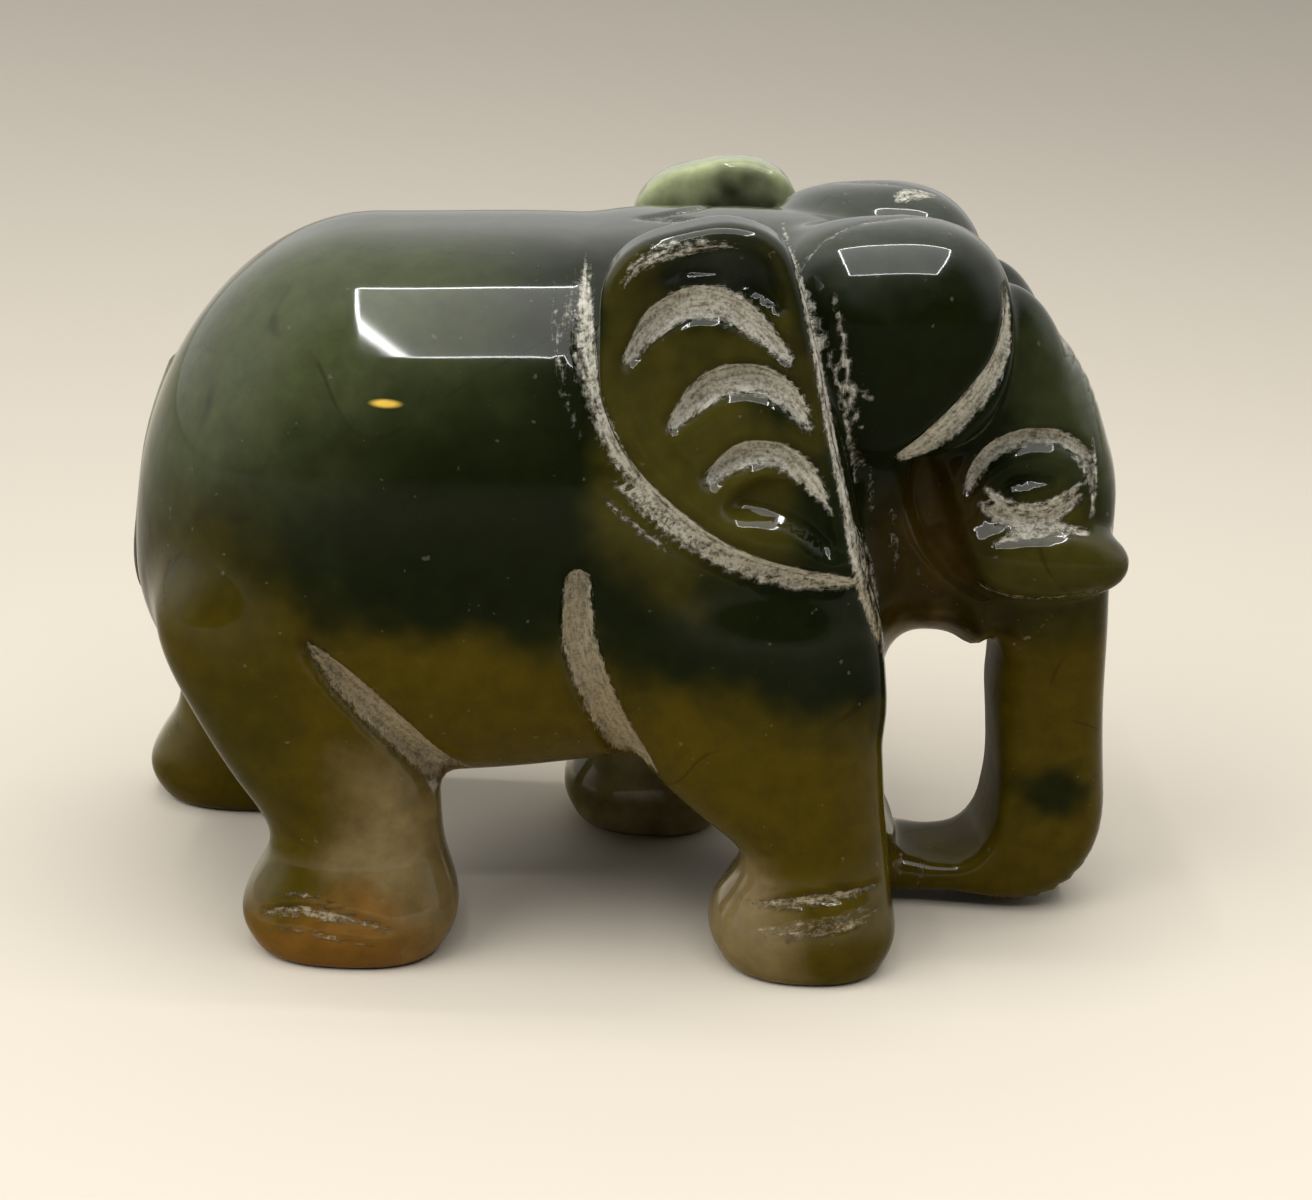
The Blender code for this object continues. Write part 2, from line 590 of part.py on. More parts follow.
def build():
    for old in list(bpy.data.objects):
        bpy.data.objects.remove(old)
    voxel = VOXEL / PART
    skin = remeshed(block_out(), 1.4 * voxel)
    skin = draw_on(skin, 12, 0.8)
    skin = remeshed(skin, voxel)
    skin = draw_on(skin, 5, 0.5)
    carve(skin)
    figure = bpy.data.objects.new(ELEPHANT, skin)
    group = bpy.data.collections.new("stone elephant")
    bpy.context.scene.collection.children.link(group)
    group.objects.link(figure)
    skin.materials.append(material("green stone", (0.035, 0.045, 0.022), 0.18, 0.0))
    thin = figure.modifiers.new("thin", "DECIMATE")
    thin.ratio = TRIANGLES / (2.0 * len(skin.polygons))
    thin.use_collapse_triangulate = True
    graph = bpy.context.evaluated_depsgraph_get()
    reach = np.array([corner[:] for corner in figure.evaluated_get(graph).bound_box])
    middle = (reach.min(axis=0) + reach.max(axis=0)) / 2.0
    figure.location = (-middle[0], -middle[1], 0.0)
    return figure


build()
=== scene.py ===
# %% [markdown]
# # A small carved stone elephant
# This is a pocket-sized elephant, cut from one pebble of green stone and polished.
# It has no joints and no added parts, so one mesh stands for all of it. The packed
# model gives the frame: where the ground is, and how large the figure may be.

# %% The frame
import math
import bmesh
import bpy
import numpy as np
from mathutils import Matrix, Vector


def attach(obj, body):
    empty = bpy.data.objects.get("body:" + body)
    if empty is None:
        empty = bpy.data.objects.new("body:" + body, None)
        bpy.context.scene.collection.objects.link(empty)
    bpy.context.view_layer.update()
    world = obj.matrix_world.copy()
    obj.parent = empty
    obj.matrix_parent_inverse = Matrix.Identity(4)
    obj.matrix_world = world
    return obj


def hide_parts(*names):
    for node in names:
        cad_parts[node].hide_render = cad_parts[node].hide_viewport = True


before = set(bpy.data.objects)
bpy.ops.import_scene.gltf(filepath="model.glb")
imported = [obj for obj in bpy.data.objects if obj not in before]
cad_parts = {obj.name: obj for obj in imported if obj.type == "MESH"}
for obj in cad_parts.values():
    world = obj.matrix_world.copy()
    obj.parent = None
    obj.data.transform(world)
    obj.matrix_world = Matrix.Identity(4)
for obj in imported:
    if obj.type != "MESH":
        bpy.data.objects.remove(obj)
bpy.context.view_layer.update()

MM = 0.001

# %% [markdown]
# ## Camera
# A hand-held close-up looks down a little on the right flank, from about 12 cm.
# So near a subject the perspective is strong, and the real distance matters more
# than the lens. The camera is placed by its heading, its height angle and a small
# roll, looking at a point inside the figure, 15.6 mm above the ground.

# %% The camera
AIM = Vector((1.7, 0.0, 15.6)) * MM
HEADING, DOWN, ROLL = (math.radians(v) for v in (-2.0, 20.0, -3.1))
DISTANCE = 124.5 * MM
FOCAL_SHARE = 2430.0 / 1312.0          # focal length as a share of the picture's width

ahead = Vector((-math.sin(HEADING) * math.cos(DOWN), math.cos(HEADING) * math.cos(DOWN),
                -math.sin(DOWN)))
level = Vector((math.cos(HEADING), math.sin(HEADING), 0.0))
upright = level.cross(ahead)
right = math.cos(ROLL) * level - math.sin(ROLL) * upright
up = math.sin(ROLL) * level + math.cos(ROLL) * upright
eye = AIM - ahead * DISTANCE

lens = bpy.data.cameras.new("camera")
lens.sensor_width = 36.0
lens.lens = FOCAL_SHARE * lens.sensor_width
lens.clip_start = 0.005
camera = bpy.data.objects.new("camera", lens)
camera.matrix_world = Matrix([(*row, place) for row, place in zip(
    np.array([right, up, -ahead]).T.tolist(), eye)] + [(0, 0, 0, 1)])
bpy.context.scene.collection.objects.link(camera)
bpy.context.scene.camera = camera
print("camera", [round(v / MM, 1) for v in eye], "lens", round(lens.lens, 1))

# %% [markdown]
# ## Shader maths
# The floor, the sky and the stone all need shader nodes. Writing them as Python
# expressions keeps the recipe readable: one class wraps a node's output, and each
# operator on it adds a Math node. Colours and vectors go through their own nodes,
# because a Math node would turn them grey.

# %% A socket that can be reckoned with
class Flow:
    """One output of a shader node. Operators on it add Math nodes."""

    def __init__(self, tree, socket):
        self.tree = tree
        self.socket = socket

    def node(self, kind, settings=None, inputs=None, output=0):
        """Any other node: first its settings, then what goes into its sockets."""
        made = self.tree.nodes.new(kind)
        for name, value in (settings or {}).items():
            setattr(made, name, value)
        for name, value in (inputs or {}).items():
            feed(self.tree, value, made.inputs[name])
        return Flow(self.tree, made.outputs[output])

    def math(self, kind, *values):
        return self.node("ShaderNodeMath", {"operation": kind}, dict(enumerate(values)))

    def vector(self, kind, other=(0.0, 0.0, 0.0), output=0):
        return self.node("ShaderNodeVectorMath", {"operation": kind},
                         {0: self, 1: other}, output)

    def __add__(self, other):
        return self.math("ADD", self, other)

    def __sub__(self, other):
        return self.math("SUBTRACT", self, other)

    def __mul__(self, other):
        return self.math("MULTIPLY", self, other)

    def __rsub__(self, other):
        return self.math("SUBTRACT", other, self)

    __radd__ = __add__
    __rmul__ = __mul__

    def step(self, low, high):
        """0 below low and 1 above high, smooth between; low may be the larger one."""
        return self.node("ShaderNodeMapRange", {"interpolation_type": "SMOOTHSTEP"},
                         {"Value": self, "From Min": low, "From Max": high})


def feed(tree, value, socket):
    if isinstance(value, Flow):
        tree.links.new(value.socket, socket)
    elif isinstance(value, tuple) and socket.type == "RGBA":
        socket.default_value = (*value, 1.0)
    else:
        socket.default_value = value


def paint(mask, under, over):
    """The colour over, laid on the colour under where the mask is 1."""
    return mask.node("ShaderNodeMix", {"data_type": "RGBA"},
                     {0: mask, 6: under, 7: over}, output=2)


def texture_space(tree, output="Object"):
    coordinates = tree.nodes.new("ShaderNodeTexCoord")
    return Flow(tree, coordinates.outputs[output])


def grain(at, scale, detail=2.0, roughness=0.5, output=0):
    """Soft noise of so many blotches to the unit of length."""
    return at.node("ShaderNodeTexNoise", None,
                   {"Vector": at, "Scale": scale, "Detail": detail,
                    "Roughness": roughness}, output)


# %% [markdown]
# ## Floor
# The figure stands on a plain pale tabletop. A warm white, slightly matt, throws a
# soft warm light up into the stone, as a light wooden board would.

# %% The floor
FLOOR_WHITE = (0.66, 0.60, 0.50)
HALF_FLOOR = 3.0               # metres

floor_mesh = bpy.data.meshes.new("floor")
corners = [(HALF_FLOOR * x, HALF_FLOOR * y, 0.0) for x, y in ((-1, -1), (1, -1), (1, 1), (-1, 1))]
floor_mesh.from_pydata(corners, [], [(0, 1, 2, 3)])
floor = bpy.data.objects.new("floor", floor_mesh)
bpy.context.scene.collection.objects.link(floor)
table_top = bpy.data.materials.new("pale table")
table_top.use_nodes = True
table_shader = table_top.node_tree.nodes["Principled BSDF"]
table_shader.inputs["Base Color"].default_value = (*FLOOR_WHITE, 1.0)
table_shader.inputs["Roughness"].default_value = 0.6
table_shader.inputs["Specular IOR Level"].default_value = 0.2
floor_mesh.materials.append(table_top)
print("floor", 2 * HALF_FLOOR, "m square")

# %% [markdown]
# ## Light
# Polished stone is seen through what it mirrors. The room is a pale grey sky that
# darkens towards the viewer's side, which is why the near flank looks almost
# black. One long soft panel hangs overhead. It is brighter along its rim than in
# its middle, so its reflection on the shoulder and the brow is an outline.

# %% The room
SKY = 0.58
GLOOM = 0.03
VIEWER_SIDE = (0.0, -0.97, 0.24)

room = bpy.data.worlds.new("room")
bpy.context.scene.world = room
room.use_nodes = True
sky_tree = room.node_tree
looking = texture_space(sky_tree, "Generated")
towards_viewer = looking.vector("DOT_PRODUCT", VIEWER_SIDE, output=1)
dark_side = towards_viewer.step(0.10, 0.75)
sky_level = SKY - (SKY - GLOOM) * dark_side
background = sky_tree.nodes["Background"]
background.inputs["Color"].default_value = (1.0, 0.99, 0.96, 1.0)
feed(sky_tree, sky_level, background.inputs["Strength"])
print("room: sky", SKY, "viewer's side", GLOOM)

# %% The panel overhead
PANEL_HEIGHT = 230 * MM
PANEL_MIDDLE = (28 * MM, -88 * MM)
PANEL_SIZE = (150 * MM, 215 * MM)
RIM = 6 * MM
PANEL_GLOW = 1.5               # brightness of the panel's middle
RIM_GLOW = 32.0                # and of its rim


def soft_panel(name, middle, size, glow):
    """A rectangular light that faces down, with its surface brightness given."""
    light = bpy.data.lights.new(name, "AREA")
    light.shape = "RECTANGLE"
    light.size, light.size_y = size
    light.energy = glow * math.pi * size[0] * size[1]
    holder = bpy.data.objects.new(name, light)
    holder.location = (*middle, PANEL_HEIGHT)
    bpy.context.scene.collection.objects.link(holder)


soft_panel("panel", PANEL_MIDDLE, PANEL_SIZE, PANEL_GLOW)
for side in (-1.0, 1.0):
    soft_panel("rim across", (PANEL_MIDDLE[0], PANEL_MIDDLE[1] + side * PANEL_SIZE[1] / 2),
               (PANEL_SIZE[0], RIM), RIM_GLOW)
    soft_panel("rim along", (PANEL_MIDDLE[0] + side * PANEL_SIZE[0] / 2, PANEL_MIDDLE[1]),
               (RIM, PANEL_SIZE[1]), RIM_GLOW)

print("panel", [round(v / MM) for v in PANEL_SIZE], "mm, rim", RIM / MM, "mm")

# %% [markdown]
# ## Fill light
# A big soft disc behind the viewer's left shoulder lifts the shaded stone. It is
# hidden from reflections, because the real polish shows no second lamp.

# %% The fill light
FILL_PLACE = Vector((-0.55, -0.30, 0.60))
FILL_ACROSS = 0.70             # metres
FILL_POWER = 5.0               # watts

fill = bpy.data.lights.new("fill", "AREA")
fill.shape = "DISK"
fill.size = FILL_ACROSS
fill.energy = FILL_POWER
fill_holder = bpy.data.objects.new("fill", fill)
fill_holder.location = FILL_PLACE
fill_holder.rotation_euler = (-FILL_PLACE).to_track_quat("-Z", "Y").to_euler()
fill_holder.visible_glossy = False
bpy.context.scene.collection.objects.link(fill_holder)
bpy.context.scene.view_settings.view_transform = "Standard"
print("fill light", FILL_POWER, "W")

# %% [markdown]
# ## Describing a carved form
# A carver removes stone until a few big masses run into one another. The same is
# done here with distances: each mass is a function that is negative inside it, and
# two masses are joined with a fillet of a chosen radius. Everything below is
# written in millimetres, with +X towards the trunk, +Y the figure's left and +Z up.

# %% Tools for distances
def spline(knots, values, at):
    """Natural cubic through the values at the knots, held level beyond the ends."""
    knots = np.asarray(knots, float)
    values = np.asarray(values, float)
    step = np.diff(knots)
    count = len(knots)
    system = np.eye(count)
    target = np.zeros(count)
    for i in range(1, count - 1):
        system[i, i - 1] = step[i - 1]
        system[i, i] = 2.0 * (step[i - 1] + step[i])
        system[i, i + 1] = step[i]
        target[i] = 6.0 * ((values[i + 1] - values[i]) / step[i]
                           - (values[i] - values[i - 1]) / step[i - 1])
    bend = np.linalg.solve(system, target)
    at = np.clip(at, knots[0], knots[-1])
    i = np.clip(np.searchsorted(knots, at) - 1, 0, count - 2)
    h = step[i]
    a = (knots[i + 1] - at) / h
    b = 1.0 - a
    cubic = ((a ** 3 - a) * bend[i] + (b ** 3 - b) * bend[i + 1]) * h * h / 6.0
    return a * values[i] + b * values[i + 1] + cubic


def blend(a, b, radius):
    """Union of two distances with a fillet of about this radius."""
    h = np.clip(0.5 + 0.5 * (b - a) / radius, 0.0, 1.0)
    return b + (a - b) * h - radius * h * (1.0 - h)


def cut(a, b, radius):
    """What lies in both, with a rounded edge."""
    return -blend(-a, -b, radius)


def ease(t):
    t = np.clip(t, 0.0, 1.0)
    return t * t * (3.0 - 2.0 * t)


def radial(offsets, ratio):
    """Distance to a squared oval, measured along the ray from its middle."""
    reach = np.sqrt(sum(o * o for o in offsets))
    return reach - reach / np.maximum(ratio, 1e-6)


def ball(p, centre, radii, power=2.0, tilt=0.0):
    """An ellipsoid, squared off by a power above 2 and tilted about the Y axis."""
    x, y, z = p[:, 0] - centre[0], p[:, 1] - centre[1], p[:, 2] - centre[2]
    c, s = np.cos(np.radians(tilt)), np.sin(np.radians(tilt))
    x, z = c * x - s * z, s * x + c * z
    ratio = sum(np.abs(o / r) ** power for o, r in zip((x, y, z), radii))
    return radial((x, y, z), ratio ** (1.0 / power))


FAR = 4.0                      # a distance that is safely past every fillet


def within(p, low, high, distance):
    """A distance that is worked out only inside a box, and is large outside it."""
    d = np.full(len(p), FAR)
    near = ((p > np.array(low) - 2.0) & (p < np.array(high) + 2.0)).all(axis=1)
    d[near] = distance(p[near])
    return d


# %% [markdown]
# ## The barrel of the body
# The body is a stout barrel with flat flanks, a broad back and a round rump. Six
# stations along it give the half width, the top and the keel, and a spline runs
# through them. At the breast a leaning plane slices it off, as the saw did.

# %% The barrel
BARREL_X = np.array([-27.0, -20.0, -12.0, -4.0, 3.0, 10.0])
BARREL_HALF = np.array([11.2, 11.7, 12.0, 11.9, 11.4, 10.6])
BARREL_TOP = np.array([34.2, 34.3, 34.6, 34.9, 34.4, 33.5])
BARREL_KEEL = np.array([9.4, 8.6, 8.0, 8.9, 10.2, 11.0])
BARREL_WAIST = 18.0            # height of the widest line
RUMP_START = -14.6             # where the back begins to fall to the rump
RUMP_LENGTH = 11.55
BREAST = 10.4                  # front plane of the shoulders at waist height
BREAST_LEAN = 0.27             # how far the breast leans back above the waist
BREAST_LEAN_LOW = 0.13         # and forward below it


def barrel(p):
    x, y, z = p.T
    half = spline(BARREL_X, BARREL_HALF, x)
    top = spline(BARREL_X, BARREL_TOP, x)
    keel = spline(BARREL_X, BARREL_KEEL, x)
    rise = z - BARREL_WAIST
    tall = np.where(rise > 0.0, top - BARREL_WAIST, BARREL_WAIST - keel)
    end = np.minimum(x - RUMP_START, 0.0)
    power = 2.3 + 0.6 * ease(1.0 + end / RUMP_LENGTH)
    across = np.abs(y / half) ** power + np.abs(rise / tall) ** power
    ratio = across ** (2.1 / power) + np.abs(end / RUMP_LENGTH) ** 2.1
    body = radial((end, y, rise), ratio ** (1.0 / 2.1))
    lean = np.where(rise > 0.0, BREAST_LEAN, BREAST_LEAN_LOW)
    breast = x - BREAST + lean * rise
    return cut(body, breast / np.hypot(1.0, lean), 2.0)


# %% [markdown]
# ## Legs
# Each leg is a stack of squared ovals: a flared foot, a slim ankle and a wide
# thigh. The two left feet stand further back than the right ones, and that shift
# fades out towards the hip.

# %% The legs
# height, centre along X, half length, centre across, half width
HIND_LEG = np.array([
    (0.0, -14.60, 4.30, 8.70, 3.05),
    (1.5, -14.60, 5.20, 8.60, 3.60),
    (3.3, -14.45, 5.10, 8.45, 3.55),
    (5.4, -14.30, 4.30, 8.15, 3.20),
    (8.7, -15.25, 4.85, 8.10, 3.45),
    (12.6, -17.20, 5.30, 7.80, 3.80),
    (16.0, -18.60, 5.40, 7.20, 4.10),
    (20.0, -18.60, 5.00, 6.40, 4.00),
])
FORE_LEG = np.array([
    (0.0, 8.00, 3.90, 8.10, 3.70),
    (1.4, 7.90, 4.60, 8.15, 4.00),
    (3.4, 7.95, 4.35, 8.20, 3.80),
    (5.8, 8.20, 3.70, 8.20, 3.20),
    (7.8, 7.05, 4.55, 8.20, 3.35),
    (10.6, 5.35, 5.90, 8.20, 3.60),
    (14.4, 4.20, 6.60, 8.00, 3.90),
    (20.0, 3.60, 6.20, 7.40, 4.00),
])
STRIDE = 7.5                   # the left feet stand this far behind the right ones
STRIDE_FROM = 4.0              # the stride fades out between these two heights
STRIDE_TO = 18.0


def set_back(z):
    """How far the left side's legs are set back at a height."""
    return STRIDE * (1.0 - ease((z - STRIDE_FROM) / (STRIDE_TO - STRIDE_FROM)))


def limb(p, rows, side):
    x, y, z = p.T
    cx, hx, cy, hy = (spline(rows[:, 0], rows[:, k], z) for k in range(1, 5))
    x = x - cx + (set_back(z) if side > 0.0 else 0.0)
    y = y - side * cy
    ratio = (np.abs(x / hx) ** 2.4 + np.abs(y / hy) ** 2.4) ** (1.0 / 2.4)
    return cut(radial((x, y), ratio), z - rows[-1, 0], 3.0)


# %% [markdown]
# ## Trunk and loop
# The face runs straight on into the trunk, which hangs down and curls back between
# the fore legs. It is a rounded rectangle swept along a path. The loop that it
# closes is drilled out, and widened from both sides with a burr, so it flares.

# %% The trunk
# X, height, half depth across the path, half width
TRUNK = np.array([
    (12.6, 33.0, 1.4, 2.4),
    (15.6, 31.0, 1.9, 3.4),
    (17.0, 28.2, 3.5, 4.6),
    (17.4, 25.0, 4.6, 5.2),
    (18.1, 21.8, 4.7, 5.0),
    (19.2, 18.6, 3.8, 4.3),
    (20.1, 15.6, 3.0, 3.9),
    (20.4, 11.0, 3.0, 3.7),
    (20.6, 7.0, 3.3, 3.6),
    (19.8, 3.5, 3.4, 3.5),
    (16.6, 2.0, 1.4, 3.1),
    (13.0, 1.85, 1.3, 2.9),
    (9.0, 1.85, 1.3, 2.9),
])
run = np.hypot(*np.diff(TRUNK[:, :2], axis=0).T)
knots = np.concatenate([[0.0], np.cumsum(run)])
fine = np.linspace(0.0, knots[-1], 90)
TRUNK_LINE = np.array([spline(knots, TRUNK[:, k], fine) for k in range(4)]).T
print("trunk is", round(knots[-1], 1), "mm long along its curl")


def trunk(p):
    line = TRUNK_LINE
    gap = (p[:, 0:1] - line[:, 0]) ** 2 + (p[:, 2:3] - line[:, 1]) ** 2
    near = np.argmin(gap, axis=1)
    heading = np.gradient(line[:, :2], axis=0)
    pace = np.hypot(heading[:, 0], heading[:, 1])
    heading = heading / pace[:, None]
    dx = p[:, 0] - line[near, 0]
    dz = p[:, 2] - line[near, 1]
    along = dx * heading[near, 0] + dz * heading[near, 1]
    aside = dz * heading[near, 0] - dx * heading[near, 1]
    at = near + along / pace[near]
    last = len(line) - 1
    depth = np.interp(at, np.arange(last + 1), line[:, 2])
    width = np.interp(at, np.arange(last + 1), line[:, 3])
    ratio = (np.abs(aside / depth) ** 3.0 + np.abs(p[:, 1] / width) ** 3.0) ** (1.0 / 3.0)
    end = np.maximum(np.maximum(-at, at - last), 0.0) * pace[near]
    return radial((aside, p[:, 1]), ratio) + end


# %% The loop
# X and height of the opening's middle, half width and half height
LOOP_INSIDE = np.array([14.85, 8.80, 3.00, 6.05])
LOOP_FLARED = np.array([14.60, 9.95, 3.50, 7.6])
LOOP_LEAN = 0.13               # the loop leans this much for its height
LOOP_FLARE_AT = 4.0            # distance from the middle plane of the flared rim


def loop(p):
    x, y, z = p.T
    flare = np.minimum((y / LOOP_FLARE_AT) ** 2, 1.6)
    cx, cz, hx, hz = (a + (b - a) * flare for a, b in zip(LOOP_INSIDE, LOOP_FLARED))
    x, z = x - cx + LOOP_LEAN * (z - cz), z - cz
    ratio = (np.abs(x / hx) ** 2.6 + np.abs(z / hz) ** 2.6) ** (1.0 / 2.6)
    return radial((x, z), ratio)


# %% [markdown]
# ## Ears
# The ears lie along the shoulders like leaves of stone. Each is a closed outline
# in the side view, with a face that turns in towards the head, a raised rim behind
# and a shallow dish inside it. The left ear was cut a little further forward and
# lower than the right one.

# %% The ears
EAR = np.array([
    (5.0, 35.6), (3.9, 36.9), (2.0, 37.4), (-0.2, 37.0), (-2.2, 36.2), (-3.4, 34.6),
    (-3.5, 32.0), (-3.2, 29.0), (-1.7, 26.2), (1.2, 23.6), (4.2, 22.0), (7.2, 21.2),
    (9.0, 21.0), (8.4, 24.0), (7.2, 28.0), (6.2, 32.0),
])
EAR_FACE = 12.3                # how far out the face lies at the ear's middle
EAR_TOE_IN = 0.09              # how much it turns in for each mm forward
EAR_THICKNESS = 3.0
LEFT_EAR_FORWARD = 1.6
LEFT_EAR_LOWER = 0.7


def outline_distance(x, z, outline):
    """Distance in the side view to a closed outline, negative inside it."""
    best = np.full(len(x), 1e9)
    inside = np.zeros(len(x), bool)
    for a, b in zip(outline, np.roll(outline, -1, axis=0)):
        edge = b - a
        t = ((x - a[0]) * edge[0] + (z - a[1]) * edge[1]) / (edge @ edge)
        t = np.clip(t, 0.0, 1.0)
        best = np.minimum(best, np.hypot(x - a[0] - t * edge[0], z - a[1] - t * edge[1]))
        crosses = (a[1] > z) != (b[1] > z)
        with np.errstate(divide="ignore", invalid="ignore"):
            at = a[0] + (z - a[1]) * edge[0] / edge[1]
        inside ^= crosses & (x < at)
    return np.where(inside, -best, best)


def rounded(outline, count=6):
    """A closed outline through the points, as a smooth curve."""
    before, after = np.roll(outline, 1, axis=0), np.roll(outline, -1, axis=0)
    later = np.roll(outline, -2, axis=0)
    t = (np.arange(count) / count)[:, None]
    pieces = []
    for a, b, c, d in zip(before, outline, after, later):
        pieces.append(0.5 * (2 * b + (c - a) * t + (2 * a - 5 * b + 4 * c - d) * t ** 2
                             + (3 * b - a - 3 * c + d) * t ** 3))
    return np.concatenate(pieces)


EAR_OUTLINE = rounded(EAR)


def on_right_ear(x, y, z):
    """Where a point of the left ear would lie on the right ear's outline."""
    moved = np.where(y > 0.0, ease((z - 24.0) / 10.0), 0.0)
    return x - moved * LEFT_EAR_FORWARD, z + moved * LEFT_EAR_LOWER


def ear(p):
    x, y, z = p.T
    x, z = on_right_ear(x, y, z)
    edge = outline_distance(x, z, EAR_OUTLINE)
    rim = ease((-edge - 0.6) / 1.6) * ease((6.5 - x) / 4.0)
    out = np.abs(y) - (EAR_FACE - EAR_TOE_IN * x - 0.03 * (z - 28.0))
    return cut(cut(edge, out + 0.55 * rim, 0.9), -out - EAR_THICKNESS, 0.6)


# %% [markdown]
# ## Everything joined
# The head is a squared skull with two brow domes over it, a small lobe at each
# temple, and a short tusk wedge at each side of the mouth. A thin ridge down the
# rump is the tail. All of it runs together with fillets of about a millimetre,
# and the ground plane cuts the four soles flat.

# %% The whole form
TAIL = np.array([(-24.3, 27.0), (-25.3, 23.4), (-25.8, 19.6), (-25.95, 16.4), (-25.6, 14.2)])
TAIL_RADIUS = np.array([0.25, 0.4, 0.45, 0.55, 0.4])


def tail(p):
    x, y, z = p.T
    at = spline(TAIL[::-1, 1], TAIL[::-1, 0], z)
    thick = spline(TAIL[::-1, 1], TAIL_RADIUS[::-1], z)
    reach = np.maximum(np.maximum(z - TAIL[0, 1], TAIL[-1, 1] - z), 0.0)
    return np.sqrt((x - at) ** 2 + y ** 2 + reach ** 2) - thick


def form(p):
    """Distance to the whole figure before the cuts."""
    x, y, z = p.T
    mirror = np.stack([x, np.abs(y), z], axis=1)
    d = within(p, (7, -6, 0), (25, 6, 36), trunk)
    d = blend(d, ball(p, (12.0, 0.0, 20.4), (6.6, 4.9, 6.6), 3.0), 0.8)
    d = blend(d, ball(p, (9.0, 0.0, 10.0), (4.4, 4.8, 9.4), 4.0), 1.2)
    d = blend(d, ball(mirror, (18.0, 4.0, 20.2), (5.1, 2.1, 2.1), 2.2, 3.0), 0.7)
    d = cut(d, -loop(p), 0.4)
    d = blend(d, barrel(p), 1.4)
    for rows in (HIND_LEG, FORE_LEG):
        for side in (-1.0, 1.0):
            d = blend(d, limb(p, rows, side), 1.2)
    d = blend(d, ball(p, (5.5, 0.0, 28.4), (8.4, 7.4, 7.3), 2.6), 1.4)
    d = blend(d, ball(p, (0.8, 0.0, 27.8), (5.8, 10.6, 7.2), 3.2), 1.6)
    d = blend(d, ball(mirror, (10.0, 4.5, 30.95), (6.1, 4.5, 5.7), 2.7, -5.0), 0.8)
    d = blend(d, ball(mirror, (16.9, 3.0, 30.4), (1.9, 1.9, 3.4), 2.0, -28.0), 0.6)
    d = blend(d, within(p, (-28, -2, 11), (-23, 2, 27), tail), 0.5)
    d = blend(d, within(p, (-5, -14, 19), (10, -7, 39), ear), 0.8)
    d = blend(d, within(p, (-5, 7, 19), (12, 14, 39), ear), 0.8)
    return cut(d, -z, 0.5)


# %% [markdown]
# ## From the form to a skin
# Rough lumps are placed where the masses are and fused by a voxel remesh. Then
# every vertex slides along the slope of the distance until it lies on the form,
# and evens out its spacing with its neighbours. A second, finer remesh and a few
# more slides give an even skin, with no stretched faces.

# %% Lumps to start from
def lump(bm, centre, radii):
    made = bmesh.ops.create_uvsphere(bm, u_segments=32, v_segments=20, radius=1.0)
    place = Matrix.Translation(centre) @ Matrix.Diagonal((*radii, 1.0))
    bmesh.ops.transform(bm, matrix=place, verts=made["verts"])


def ear_plate(bm, side):
    """A flat plate with the ear's outline, where the ear lies."""
    plate = []
    for out in (EAR_FACE, EAR_FACE - EAR_THICKNESS):
        ring = []
        for x, z in EAR_OUTLINE:
            moved = ease((z - 24.0) / 10.0) if side > 0.0 else 0.0
            ring.append(bm.verts.new((x + moved * LEFT_EAR_FORWARD, side * out,
                                      z - moved * LEFT_EAR_LOWER)))
        plate.append(ring)
    count = len(EAR_OUTLINE)
    faces = [bm.faces.new(plate[0]), bm.faces.new(plate[1][::-1])]
    for i in range(count):
        j = (i + 1) % count
        faces.append(bm.faces.new((plate[0][j], plate[0][i], plate[1][i], plate[1][j])))
    bmesh.ops.recalc_face_normals(bm, faces=faces)


def rough_block():
    bm = bmesh.new()
    lump(bm, (-8.5, 0.0, 22.3), (18.0, 12.0, 12.7))
    lump(bm, (2.0, 0.0, 22.0), (9.0, 10.5, 11.0))
    lump(bm, (6.0, 0.0, 28.5), (9.0, 8.0, 8.0))
    lump(bm, (0.8, 0.0, 28.0), (5.8, 10.6, 8.0))
    lump(bm, (12.0, 0.0, 20.6), (6.5, 5.0, 6.2))
    lump(bm, (8.0, 0.0, 9.0), (4.0, 4.6, 8.8))
    for side in (-1.0, 1.0):
        for rows in (HIND_LEG, FORE_LEG):
            for z in np.arange(1.0, 18.0, 1.5):
                cx, hx, cy, hy = (spline(rows[:, 0], rows[:, k], z) for k in range(1, 5))
                back = set_back(z) if side > 0.0 else 0.0
                lump(bm, (cx - back, side * cy, z), (hx, hy, 2.0))
        lump(bm, (9.8, side * 4.5, 31.0), (6.7, 4.6, 5.8))
        lump(bm, (16.9, side * 4.3, 19.9), (5.9, 2.3, 2.0))
        ear_plate(bm, side)
    for x, z, depth, width in TRUNK_LINE[::4]:
        lump(bm, (x, 0.0, z), (depth, width, depth))
    mesh = bpy.data.meshes.new("elephant skin")
    bm.to_mesh(mesh)
    bm.free()
    return mesh


# %% Fusing and sliding
def remeshed(mesh, voxel):
    """The mesh fused into one skin of even squares."""
    rough = bpy.data.objects.new("rough", mesh)
    bpy.context.scene.collection.objects.link(rough)
    step = rough.modifiers.new("fuse", "REMESH")
    step.mode = "VOXEL"
    step.voxel_size = voxel
    graph = bpy.context.evaluated_depsgraph_get()
    done = bpy.data.meshes.new_from_object(rough.evaluated_get(graph))
    bpy.data.objects.remove(rough)
    return done


def points(mesh):
    flat = np.empty(len(mesh.vertices) * 3, np.float32)
    mesh.vertices.foreach_get("co", flat)
    return flat.reshape(-1, 3).astype(float)


def edges(mesh):
    flat = np.empty(len(mesh.edges) * 2, np.int32)
    mesh.edges.foreach_get("vertices", flat)
    return flat.reshape(-1, 2)


